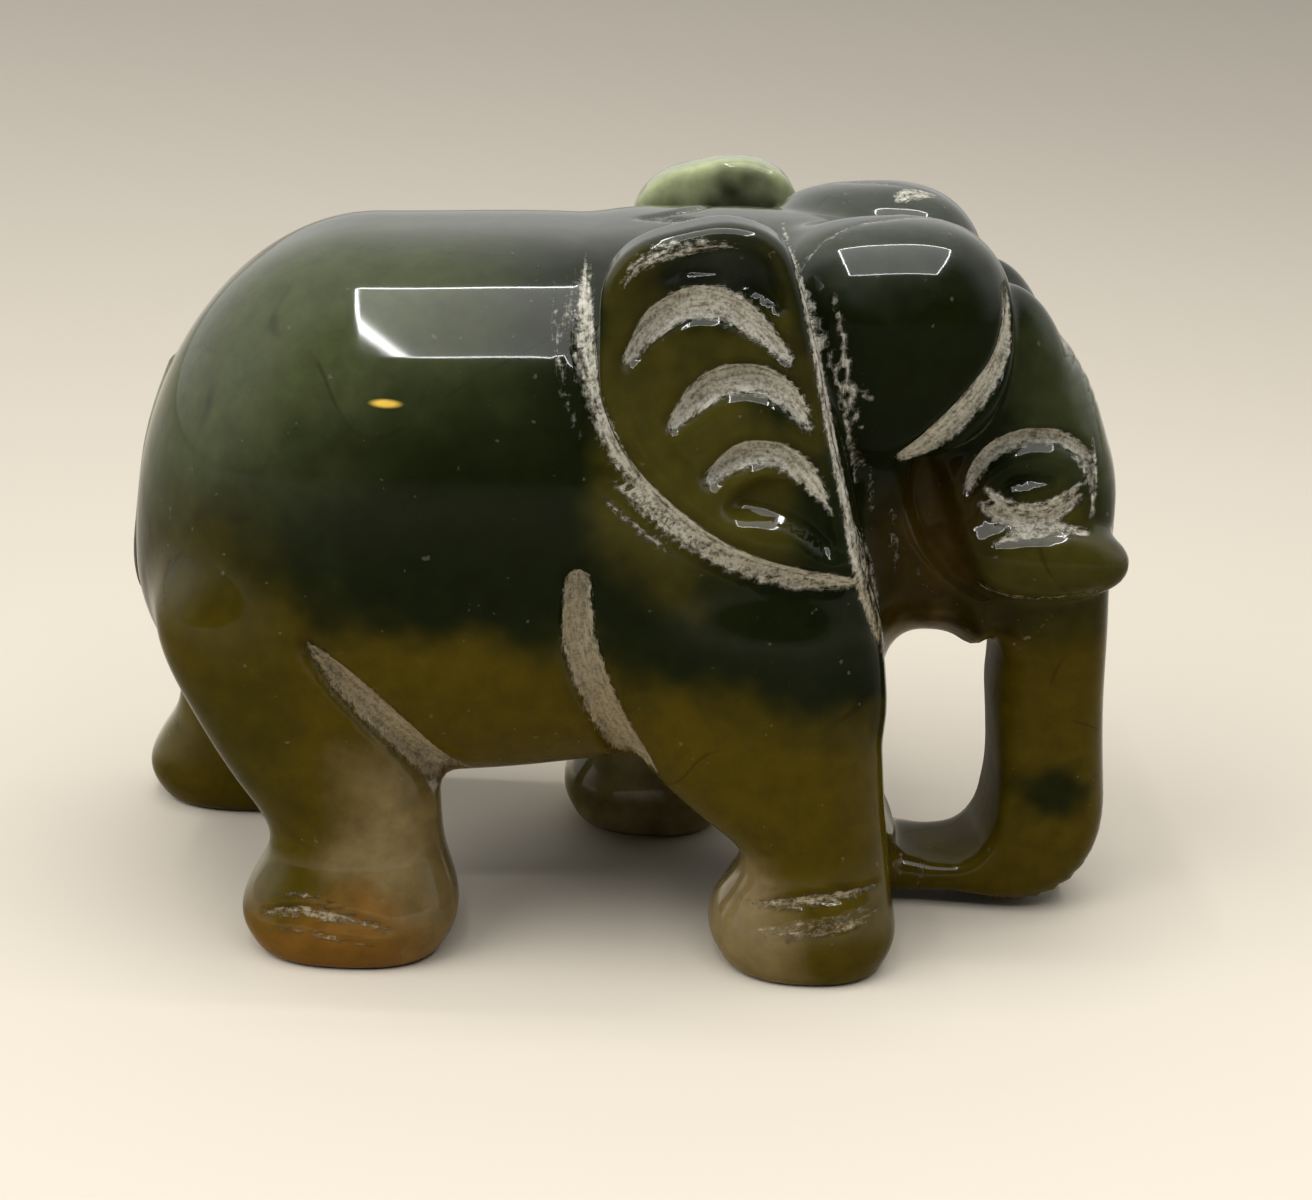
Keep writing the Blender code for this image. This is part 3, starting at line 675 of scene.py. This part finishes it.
def neighbour_mean(values, links):
    total = np.zeros_like(values)
    count = np.zeros(len(values))
    for a, b in ((0, 1), (1, 0)):
        for axis in range(values.shape[1]):
            total[:, axis] += np.bincount(links[:, a], values[links[:, b], axis], len(values))
        count += np.bincount(links[:, a], minlength=len(values))
    return total / count[:, None]


def slope(p, value):
    small = 0.02
    grad = np.empty_like(p)
    for axis in range(3):
        moved = p.copy()
        moved[:, axis] += small
        grad[:, axis] = (form(moved) - value) / small
    return grad


def draw_on(mesh, rounds, limit):
    """Slides every vertex onto the form and evens out their spacing."""
    p, links = points(mesh), edges(mesh)
    for turn in range(rounds):
        value = form(p)
        grad = slope(p, value)
        size = np.maximum((grad ** 2).sum(axis=1), 0.09)
        move = -value[:, None] * grad / size[:, None]
        far = np.linalg.norm(move, axis=1)
        move *= np.minimum(1.0, limit / np.maximum(far, 1e-9))[:, None]
        p = p + move
        if turn < rounds - 2:
            normal = grad / np.sqrt(size)[:, None]
            drift = neighbour_mean(p, links) - p
            drift -= (drift * normal).sum(axis=1)[:, None] * normal
            p = p + 0.5 * drift
    mesh.vertices.foreach_set("co", p.astype(np.float32).ravel())
    mesh.update()
    return mesh


# %% The skin
FIRST_GRAIN = 0.63             # mm between vertices of the first skin
GRAIN = 0.29

skin = draw_on(remeshed(rough_block(), FIRST_GRAIN), 12, 0.8)
skin = draw_on(remeshed(skin, GRAIN), 5, 0.5)
print("skin:", len(skin.vertices), "vertices,", 2 * len(skin.polygons), "triangles")

# %% [markdown]
# ## Cuts
# After the form was ground, the carver drew on it with a small disc and a burr:
# long kerfs behind the legs, crescents on the ears, lids, lips and toes. They were
# never polished, so they stay rough and pale. Each cut is a line of points in the
# side view: X, height and share of the full width, with a half width, a depth and
# how scratched it is. Lines of a group are shared by both sides of the figure.

# %% The lines on the legs
LEG_CUTS = [
    # the kerf behind the fore leg and the one in front of the thigh
    (0.90, 1.10, 1.0, [(-4.0, 20.5, 0.8), (-4.0, 19.2, 0.9), (-3.8, 17.6, 1.0),
                       (-3.2, 15.7, 1.0), (-2.4, 13.8, 1.0), (-1.6, 12.2, 1.0),
                       (-0.9, 10.9, 1.0), (-0.2, 9.7, 0.8)]),
    (0.90, 1.10, 1.0, [(-16.4, 16.9, 0.3), (-15.2, 15.6, 0.7), (-14.0, 14.3, 0.9),
                       (-12.3, 12.4, 1.0), (-10.9, 10.7, 1.0), (-9.9, 9.3, 1.0),
                       (-9.3, 8.0, 0.6)]),
    # toes
    (0.36, 0.30, 0.52, [(-18.6, 2.7, 0.5), (-16.7, 3.1, 1.0), (-14.6, 2.9, 1.0),
                        (-12.4, 2.5, 0.5)]),
    (0.30, 0.05, 0.36, [(-18.3, 1.9, 0.5), (-16.7, 2.2, 1.0), (-14.8, 1.9, 0.9),
                        (-12.9, 1.6, 0.5)]),
    (0.36, 0.30, 0.52, [(4.9, 4.0, 0.5), (7.3, 4.5, 1.0), (9.7, 4.9, 0.9),
                        (11.2, 5.1, 0.5)]),
    (0.60, 0.04, 0.36, [(5.3, 2.9, 0.5), (7.6, 3.3, 1.0), (9.9, 3.7, 1.0),
                        (11.4, 3.9, 0.5)]),
    (0.22, 0.04, 0.40, [(-18.0, 3.6, 0.5), (-16.4, 3.9, 1.0), (-14.4, 3.4, 0.5)]),
    (0.22, 0.04, 0.40, [(6.6, 2.6, 0.5), (8.4, 3.3, 1.0), (10.8, 4.5, 0.5)]),
]

# %% The lines on the ears
EAR_CUTS = [
    # three crescents
    (0.76, 0.80, 0.95, [(-2.2, 31.2, 0.5), (-0.9, 33.0, 1.0), (0.8, 33.8, 1.1),
                       (2.8, 33.3, 1.0), (5.0, 31.4, 0.5)]),
    (0.72, 0.80, 0.95, [(0.0, 28.2, 0.6), (1.4, 29.8, 1.1), (3.0, 30.4, 1.1),
                       (4.8, 29.9, 1.0), (6.6, 28.0, 0.5)]),
    (0.68, 0.80, 0.95, [(1.8, 25.7, 0.6), (3.0, 26.7, 1.0), (4.4, 27.0, 1.0),
                       (6.0, 26.2, 1.0), (7.8, 24.0, 0.4)]),
]
EAR_HOLLOWS = [
    (1.30, 0.95, 0.0, [(-0.4, 34.9, 0.5), (1.6, 35.6, 1.0), (3.4, 35.1, 1.1),
                       (4.6, 34.0, 0.7)]),
    (1.20, 0.85, 0.0, [(3.0, 24.4, 0.6), (4.8, 24.9, 1.1), (6.6, 24.0, 1.0),
                       (7.6, 22.6, 0.6)]),
]
EAR_RIM_MARKS = [
    # torn patch on the rolled top
    (0.60, 0.05, 0.40, [(-2.6, 34.6, 0.5), (-1.6, 35.8, 0.9), (0.4, 36.4, 0.9),
                        (2.6, 36.4, 0.5)]),
]

# %% The lines on body and head
SIDE_CUTS = [
    # round the ear's rear and lower border
    (0.66, 0.30, 0.62, [(-4.2, 34.6, 0.4), (-4.2, 32.5, 0.8), (-3.9, 30.3, 0.9),
                        (-3.2, 28.2, 0.9), (-1.9, 25.9, 0.9), (0.7, 23.5, 1.0),
                        (3.3, 21.9, 1.0), (6.1, 21.1, 1.0), (8.7, 20.9, 0.8)]),
    (0.36, 0.20, 0.60, [(-2.9, 25.6, 0.4), (-0.9, 24.0, 1.0), (1.4, 22.3, 1.0),
                        (3.8, 21.2, 1.0), (6.0, 20.6, 0.8), (8.6, 20.5, 0.5)]),
    (0.26, 0.04, 0.34, [(-5.6, 33.8, 0.4), (-5.5, 31.6, 1.0), (-5.0, 29.4, 1.0),
                        (-4.2, 27.4, 0.6)]),
    (0.30, 0.04, 0.34, [(-4.9, 34.2, 0.5), (-4.9, 32.4, 1.0), (-4.6, 30.6, 1.0),
                        (-3.9, 28.6, 0.7)]),
    (0.25, 0.05, 0.45, [(-3.4, 25.0, 0.4), (-1.6, 23.4, 1.0), (0.6, 21.9, 0.6)]),
    # two nicks on the cheek
    (0.30, 0.15, 0.45, [(7.9, 29.9, 0.8), (8.5, 29.5, 1.0), (9.1, 29.1, 0.8)]),
    (0.30, 0.15, 0.40, [(8.2, 27.0, 0.8), (8.7, 26.1, 1.0), (9.3, 25.3, 0.8)]),
    # round the brow dome
    (0.80, 0.80, 0.8, [(15.2, 34.0, 0.4), (15.4, 32.4, 0.6), (15.1, 30.8, 0.8),
                       (14.3, 29.4, 0.95), (12.9, 27.6, 1.0), (11.4, 25.9, 0.9)]),
    # lids and the line over the tusk
    (0.50, 0.70, 0.80, [(14.7, 23.6, 0.6), (15.2, 25.0, 0.9), (16.3, 26.1, 1.0),
                        (17.8, 26.5, 1.0), (19.3, 26.3, 0.9), (20.5, 25.4, 0.6)]),
    (0.42, 0.40, 0.75, [(15.3, 23.1, 0.6), (16.3, 22.4, 1.0), (17.7, 22.2, 1.0),
                        (19.0, 22.6, 1.0), (20.2, 23.6, 0.6)]),
    (0.50, 0.05, 0.62, [(15.5, 24.0, 0.5), (16.3, 23.2, 1.0), (17.7, 22.9, 1.0),
                        (19.0, 23.3, 1.0), (20.1, 24.3, 0.5)]),
    (0.30, 0.04, 0.45, [(19.6, 25.6, 0.6), (20.4, 24.8, 1.0), (20.9, 23.6, 0.6)]),
    (0.35, 0.25, 0.60, [(16.0, 21.3, 0.5), (17.6, 21.8, 1.0), (19.2, 22.0, 1.0),
                        (20.8, 21.8, 0.6)]),
    (0.30, 0.10, 0.45, [(20.6, 26.4, 0.5), (20.8, 24.6, 1.0), (20.9, 22.4, 0.6)]),
    (0.30, 0.20, 0.30, [(15.0, 19.2, 0.5), (17.0, 18.4, 1.0), (19.4, 18.4, 1.0),
                        (21.6, 19.0, 0.5)]),
    # strokes down the trunk's tip and below the tusk
    (0.30, 0.02, 0.30, [(13.6, 3.4, 0.5), (13.4, 2.4, 1.0), (13.3, 1.3, 0.6)]),
    (0.35, 0.02, 0.30, [(14.6, 3.2, 0.5), (14.5, 2.2, 1.0), (14.4, 1.1, 0.6)]),
    (0.25, 0.02, 0.28, [(15.7, 3.2, 0.5), (15.6, 2.3, 1.0), (15.5, 1.4, 0.6)]),
    (0.40, 0.03, 0.24, [(17.6, 14.6, 0.5), (18.6, 15.9, 1.0), (19.6, 17.2, 0.6)]),
]
SIDE_HOLLOWS = [
    # the slit of the eye, and the dark channel between cheek and face
    (0.45, 0.60, 0.0, [(16.2, 23.8, 0.5), (17.4, 24.4, 1.0), (18.7, 24.5, 0.5)]),
    (1.25, 0.95, 0.0, [(12.2, 25.6, 0.6), (12.7, 23.4, 1.0), (13.5, 21.4, 1.0),
                       (14.8, 19.4, 0.8), (16.4, 18.3, 0.5)]),
]
EDGE_LINES = [
    # scored down the ear's front edge, where the surface is steep
    (0.30, 0.14, 0.62, [(5.1, 35.6, 0.6), (6.2, 32.0, 1.0), (7.1, 28.3, 1.0),
                        (8.1, 24.5, 1.0), (9.1, 20.7, 1.0), (10.3, 17.7, 0.7)]),
    (0.24, 0.10, 0.50, [(6.0, 33.8, 0.6), (7.4, 30.1, 1.0), (8.3, 27.3, 1.0),
                        (9.0, 24.4, 0.6)]),
    (0.24, 0.10, 0.60, [(7.1, 33.7, 0.6), (7.7, 31.4, 1.0), (8.2, 29.1, 1.0),
                        (8.8, 27.7, 0.6)]),
    (0.50, 0.05, 0.42, [(8.3, 24.0, 0.5), (9.4, 21.2, 1.0), (10.2, 18.8, 1.0),
                        (10.8, 16.6, 0.6)]),
    # tool marks on the jaw
    (0.22, 0.04, 0.36, [(9.6, 25.4, 0.6), (9.9, 23.6, 1.0), (10.3, 22.0, 0.6)]),
    (0.26, 0.04, 0.34, [(10.9, 23.0, 0.6), (11.3, 21.0, 1.0), (11.5, 19.4, 0.6)]),
    (0.20, 0.04, 0.34, [(12.2, 20.4, 0.6), (12.9, 18.9, 1.0), (14.0, 17.8, 0.6)]),
]
TOP_CUTS = [
    # seen from above: the crease of the neck, and the upper edge of each dome
    (0.50, 0.22, 0.35, [(-1.6, 0.0, 0.6), (0.6, 1.5, 1.0), (2.8, 5.0, 1.0),
                        (4.3, 7.6, 0.8)]),
    (0.25, 0.05, 0.40, [(5.4, 7.4, 0.6), (7.9, 5.6, 1.0), (10.4, 4.4, 1.0),
                        (12.6, 3.4, 0.6)]),
    (0.80, 0.03, 0.55, [(11.0, 2.2, 0.6), (11.8, 3.0, 1.0), (12.8, 3.4, 0.6)]),
]
print("cuts:", len(LEG_CUTS), "on the legs,", len(EAR_CUTS), "on the ears,",
      len(SIDE_CUTS), "on body and head")

# %% [markdown]
# ## Cutting them in
# A vertex near a line moves straight in towards the middle plane, or down where the
# line is drawn from above. The mesh also remembers the cut as an attribute, for the
# material: how far along the line the vertex lies, how far across it, and how
# scratched it is.

# %% The cutter
def nearest(x, z, rows, half):
    """Strength, distance along and distance across for points near a line."""
    rows = np.array(rows)
    steps = np.arange(len(rows))
    fine = np.linspace(0, len(rows) - 1, 6 * len(rows))
    line = np.stack([spline(steps, rows[:, k], fine) for k in range(3)], axis=1)
    best = np.zeros(len(x))
    along = np.zeros(len(x))
    across = np.zeros(len(x))
    start = 0.0
    for a, b in zip(line[:-1], line[1:]):
        edge = b[:2] - a[:2]
        length = np.hypot(*edge)
        t = np.clip(((x - a[0]) * edge[0] + (z - a[1]) * edge[1]) / length ** 2, 0.0, 1.0)
        dx, dz = x - a[0] - t * edge[0], z - a[1] - t * edge[1]
        gap = np.hypot(dx, dz)
        wide = half * (a[2] + t * (b[2] - a[2]))
        here = (1.0 - np.minimum(gap / wide, 1.0) ** 2) * wide / half
        closer = here > best
        best = np.where(closer, here, best)
        along = np.where(closer, start + t * length, along)
        across = np.where(closer, np.sign(edge[0] * dz - edge[1] * dx) * gap, across)
        start += length
    return np.minimum(best * 1.5, 1.0), along, across


class Cuts:
    """Gathers the depth and the scratches of every cut on the skin."""

    def __init__(self, count):
        self.depth = np.zeros(count)
        self.mark = np.zeros((count, 3))

    def draw(self, group, x, z, allowed, soft=False):
        for number, (half, deep, scratched, rows) in enumerate(group):
            area = np.array(rows)[:, :2]
            low, high = area.min(axis=0) - 1.2 * half, area.max(axis=0) + 1.2 * half
            near = (x > low[0]) & (x < high[0]) & (z > low[1]) & (z < high[1])
            near &= allowed > 0.0
            strength, along, across = nearest(x[near], z[near], rows, half)
            strength = strength * allowed[near]
            profile = strength ** 2 if soft else strength
            self.depth[near] = np.maximum(self.depth[near], profile * deep)
            mark = self.mark[near]
            stronger = strength * scratched > mark[:, 2]
            new = np.stack([along + 10.0 * number, across, strength * scratched], axis=1)
            self.mark[near] = np.where(stronger[:, None], new, mark)


# %% Carving the skin
p, links = points(skin), edges(skin)
value = form(p)
normal = slope(p, value)
normal /= np.linalg.norm(normal, axis=1)[:, None]
x, y, z = p.T
side = np.where(y < 0.0, -1.0, 1.0)
outward = normal[:, 1] * side
facing = ease((outward - 0.15) / 0.3)
outer = ease((np.abs(y) - 8.0) / 1.0)
ear_x, ear_z = on_right_ear(x, y, z)
leg_x = x + np.where(side > 0.0, set_back(z), 0.0)
edge = np.full(len(p), FAR)
near = (np.abs(y) > 7.0) & (ear_x > -6.0) & (ear_x < 10.0) & (z > 19.0)
edge[near] = outline_distance(ear_x[near], ear_z[near], EAR_OUTLINE)
on_ear = facing * outer * ease((-edge - 0.4) / 0.9)

cuts = Cuts(len(p))
cuts.draw(LEG_CUTS, leg_x, z, facing * outer)
cuts.draw(EAR_CUTS, ear_x, ear_z, on_ear)
cuts.draw(EAR_HOLLOWS, ear_x, ear_z, on_ear, soft=True)
cuts.draw(EAR_RIM_MARKS, ear_x, ear_z, outer * ease((0.6 - edge) / 0.6) * ease(outward + 0.6))
cuts.draw(SIDE_CUTS, ear_x, ear_z, facing)
cuts.draw(SIDE_HOLLOWS, x, z, facing, soft=True)
cuts.draw(EDGE_LINES, ear_x, ear_z, ease((outward + 0.05) / 0.3))
down_cuts = Cuts(len(p))
down_cuts.mark = cuts.mark
down_cuts.draw(TOP_CUTS, x, np.abs(y), ease((normal[:, 2] - 0.3) / 0.3))
depth = np.stack([cuts.depth, down_cuts.depth], axis=1)
depth = 0.6 * depth + 0.4 * neighbour_mean(depth, links)
p[:, 1] -= side * depth[:, 0]
p[:, 2] -= depth[:, 1]
p[p[:, 2] < 0.03, 2] = 0.0
print("deepest cut", round(float(depth.max()), 2), "mm")

# %% [markdown]
# ## The piece
# The skin is scaled from millimetres to metres and set into the frame, so that the
# middle of its box lies over the origin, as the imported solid's does. The marks of
# the cuts go with it, and smooth shading lets the polish mirror evenly.

# %% The piece
middle = (p.min(axis=0) + p.max(axis=0)) / 2.0
p[:, 0] -= middle[0]
p[:, 1] -= middle[1]
skin.vertices.foreach_set("co", (p * MM).astype(np.float32).ravel())
skin.update()
marks = skin.attributes.new("cut", "FLOAT_VECTOR", "POINT")
marks.data.foreach_set("vector", cuts.mark.astype(np.float32).ravel())
skin.polygons.foreach_set("use_smooth", np.ones(len(skin.polygons), bool))
elephant = bpy.data.objects.new("stone_elephant", skin)
bpy.context.scene.collection.objects.link(elephant)
print("box middle moved by", [round(float(v), 2) for v in middle[:2]], "mm")

# %% [markdown]
# ## The stone
# The stone is a dark green nephrite-like rock, clouded with grey-green on the rump
# and the back, almost black on the flanks, and olive brown lower down, with milky
# patches in the feet. The olive brown is also a painted reflection of the warm board
# below. Painted light is laid into some clouds too: a glow through the thin far ear
# and the far fore foot, a sheen on the temple and a small warm glint on the near
# flank. Real stone changes colour in soft clouds, so every zone is an oval in space
# whose border is pushed about by noise.

# %% Where on the stone
stone = bpy.data.materials.new("green stone")
stone.use_nodes = True
tree = stone.node_tree
shader = tree.nodes["Principled BSDF"]
place = texture_space(tree).vector("SCALE")
place.socket.node.inputs["Scale"].default_value = 1.0 / MM
place = place.vector("ADD", (float(middle[0]), 0.0, 0.0))
sway = grain(place, 0.14, 3.0, 0.6, output=1).vector("SUBTRACT", (0.5, 0.5, 0.5))
sway = sway.vector("MULTIPLY", (9.0, 9.0, 9.0))
cloudy = place.vector("ADD", sway)


def zone(centre, radii, soft=0.5, at=cloudy):
    """1 inside an oval cloud and 0 outside it."""
    gap = at.vector("SUBTRACT", centre).vector("DIVIDE", radii)
    return gap.vector("LENGTH", output=1).step(1.0 + soft, 1.0 - soft)


# %% The colours of the stone
DEEP = (0.006, 0.009, 0.002)
GREY_GREEN_AND_SHEEN = (0.052, 0.062, 0.024)
GRAPHITE = (0.038, 0.044, 0.031)
OLIVE_AND_REFLECTION = (0.062, 0.044, 0.0025)
EAR_OLIVE = (0.052, 0.044, 0.006)
AMBER = (0.11, 0.055, 0.006)
RUST = (0.20, 0.088, 0.014)
MILKY = (0.30, 0.22, 0.11)
FAR_EAR_GLOW = (0.34, 0.37, 0.20)
PALE_GREEN_AND_GLOW = (0.48, 0.42, 0.21)
WARM_GLINT = (0.95, 0.62, 0.10)

height = cloudy.node("ShaderNodeSeparateXYZ", None, {0: cloudy}, output=2)
sideways = cloudy.node("ShaderNodeSeparateXYZ", None, {0: cloudy}, output=0)
wavy = height + 4.2 * sideways.step(-4.0, 8.0) * sideways.step(18.0, 12.0)
LOW_OLIVE_AND_REFLECTION = wavy.step(19.0, 15.2)      # 1 below the wavy border of the olive layer

# %% The clouds, each painted over the ones before
tone = paint(zone((-19.0, 0.0, 30.5), (11.5, 14.0, 10.5), 0.45), DEEP, GREY_GREEN_AND_SHEEN)
tone = paint(zone((4.0, 0.0, 37.5), (26.0, 10.0, 4.0), 0.4), tone, GRAPHITE)
# Olive brown below a wavy height: the stone's own olive, with a painted reflection of the warm
# board below laid into it.
tone = paint(LOW_OLIVE_AND_REFLECTION, tone, OLIVE_AND_REFLECTION)
CLOUDS = [
    (DEEP, 0.8, 0.5, (-8.0, -12.0, 24.0), (8.0, 4.0, 5.0)),
    (DEEP, 0.6, 0.5, (4.0, -11.0, 19.5), (6.0, 5.0, 2.5)),
    # painted reflection of the warm board on the low rump, in olive
    (OLIVE_AND_REFLECTION, 0.5, 0.6, (-21.0, -8.0, 17.0), (4.5, 5.0, 5.0)),
    (DEEP, 0.4, 0.5, (-20.0, -9.0, 12.0), (4.0, 4.0, 5.0)),
    (EAR_OLIVE, 1.0, 0.35, (1.0, -13.0, 29.0), (5.5, 3.0, 8.5)),
    (AMBER, 0.35, 0.5, (12.5, 0.0, 20.0), (4.0, 6.5, 5.0)),
    (MILKY, 0.4, 0.5, (13.5, -3.5, 15.5), (3.0, 2.5, 1.4)),
    (DEEP, 0.9, 0.5, (20.5, -3.0, 6.8), (2.6, 4.0, 1.8)),
    (MILKY, 0.55, 0.6, (-12.0, -9.5, 4.5), (3.6, 4.0, 6.0)),
    (MILKY, 0.5, 0.6, (4.6, -9.0, 2.2), (2.6, 5.0, 3.2)),
    # milky stone in the far fore foot, painted lighter as a glow against the shade under the
    # belly
    (PALE_GREEN_AND_GLOW, 0.8, 0.6, (0.5, 9.5, 1.0), (7.0, 5.0, 6.0)),
    (RUST, 0.7, 0.6, (-15.5, -11.0, 1.0), (5.0, 4.0, 2.2)),
    # painted glow of light shining through the thin far ear
    (FAR_EAR_GLOW, 1.0, 0.25, (1.5, 13.0, 38.5), (8.0, 5.5, 6.0)),
    (EAR_OLIVE, 0.8, 0.4, (19.5, -6.0, 20.3), (4.5, 5.0, 3.0)),
    # painted sheen on the temple and the top of the trunk, in grey-green
    (GREY_GREEN_AND_SHEEN, 0.8, 0.5, (20.5, -1.0, 29.0), (4.0, 6.0, 5.5)),
]
for colour, share, soft, centre, radii in CLOUDS:
    tone = paint(zone(centre, radii, soft) * share, tone, colour)
# A small painted reflection of a warm light, a gold glint on the near flank.
glint = zone((-13.0, -10.0, 28.4), (0.60, 4.0, 0.16), 0.5, place) * 0.8
tone = paint(glint, tone, WARM_GLINT)
print(len(CLOUDS) + 2, "clouds")

# %% [markdown]
# ## Mottling
# Close up the colour is never even. Fine noise makes it a little lighter and darker,
# pale specks sit in it, and here and there a hairline winds through, where another
# noise passes through its middle value.

# %% Mottling
SPECK_PALE = (0.20, 0.19, 0.15)
CRACK_DARK = (0.004, 0.004, 0.002)

mottle = grain(place, 0.9, 4.0, 0.65)
speck = grain(place, 2.2, 1.0, 0.5).step(0.74, 0.80)
winding = grain(place, 0.055, 2.0, 0.3)
off_middle = (winding - 0.5) * (winding - 0.5)
crack = off_middle.step(0.000012, 0.0) * grain(place, 0.3, 1.0, 0.5).step(0.40, 0.60)
lift = 0.55 + 0.9 * mottle
evenly = lift.node("ShaderNodeCombineXYZ", None, {0: lift, 1: lift, 2: lift})
tone = tone.vector("MULTIPLY", evenly)
tone = paint(speck * 0.25, tone, SPECK_PALE)
tone = paint(crack * 0.35, tone, CRACK_DARK)
print("mottling, specks and cracks added")

# %% [markdown]
# ## Scratches
# The disc leaves fine streaks along each cut, with torn grain between them. The
# streaks follow the line because the noise is stretched along the direction that
# the mesh remembers. Where the stone is scratched it is pale and rough, and the
# torn grain also frays the edges of the cut.

# %% The scratches
KERF_DARK = (0.16, 0.145, 0.10)
KERF_PALE = (0.58, 0.56, 0.48)
KERF_WARM = (0.40, 0.33, 0.21)         # the cuts in the olive stone are warmer
RELIEF_HEIGHT = 0.16 * MM

mark = Flow(tree, tree.nodes.new("ShaderNodeAttribute").outputs["Vector"])
mark.socket.node.attribute_name = "cut"
scratched = mark.node("ShaderNodeSeparateXYZ", None, {0: mark}, output=2)
streaks = grain(mark.vector("MULTIPLY", (0.8, 5.0, 0.0)), 1.0, 3.0, 0.6)
torn = grain(place, 3.2, 3.0, 0.7)
crumbs = grain(place, 7.0, 2.0, 0.6)
frayed = scratched + (torn - 0.5) * 0.9 + (streaks - 0.5) * 0.8
kerf = frayed.step(0.24, 0.62) * scratched.step(0.02, 0.16)
chalk = (streaks * 0.40 + torn * 0.30 + crumbs * 0.30).step(0.36, 0.60)
pale = paint(height.step(24.0, 16.0), KERF_PALE, KERF_WARM)
tone = paint(kerf, tone, paint(chalk, KERF_DARK, pale))

relief = kerf * (torn * 0.7 + crumbs * 0.5) + grain(place, 14.0, 1.0, 0.5) * 0.012
relief = relief + grain(place, 0.40, 2.0, 0.5) * 0.35      # hand polish is a little wavy
bump = place.node("ShaderNodeBump", None,
                  {"Strength": 1.0, "Distance": RELIEF_HEIGHT, "Height": relief})
print("scratched stone mixed in")

# %% [markdown]
# ## Polish
# Faces that look up took the best polish and mirror the light; the lower flanks
# are duller. So the coat, a second clear layer, is strong only where the surface
# looks up and is not scratched. Inside the loop the burr left the stone dull.

# %% The polish
facing_up = place.node("ShaderNodeNewGeometry", None, None, output=1)
facing_up = facing_up.node("ShaderNodeSeparateXYZ", None, {0: facing_up}, output=2)
burred = zone((16.2, 0.0, 8.6), (4.4, 4.4, 7.6), 0.15, place)
polish = facing_up.step(0.0, 0.50) * (1.0 - kerf) * (1.0 - 0.85 * burred)

feed(tree, tone, shader.inputs["Base Color"])
feed(tree, 0.16 + 0.55 * kerf + 0.30 * burred, shader.inputs["Roughness"])
feed(tree, 0.87 * polish, shader.inputs["Coat Weight"])
feed(tree, bump, shader.inputs["Normal"])
shader.inputs["IOR"].default_value = 1.5
shader.inputs["Specular IOR Level"].default_value = 0.03
shader.inputs["Coat Roughness"].default_value = 0.05
shader.inputs["Coat IOR"].default_value = 1.6
shader.inputs["Subsurface Weight"].default_value = 0.2
shader.inputs["Subsurface Radius"].default_value = (1.0, 0.9, 0.4)
shader.inputs["Subsurface Scale"].default_value = 1.0 * MM
skin.materials.append(stone)
print("stone has", len(tree.nodes), "nodes")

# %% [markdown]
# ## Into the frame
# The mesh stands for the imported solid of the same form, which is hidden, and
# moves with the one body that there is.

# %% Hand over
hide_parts("elephant")
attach(elephant, "root")
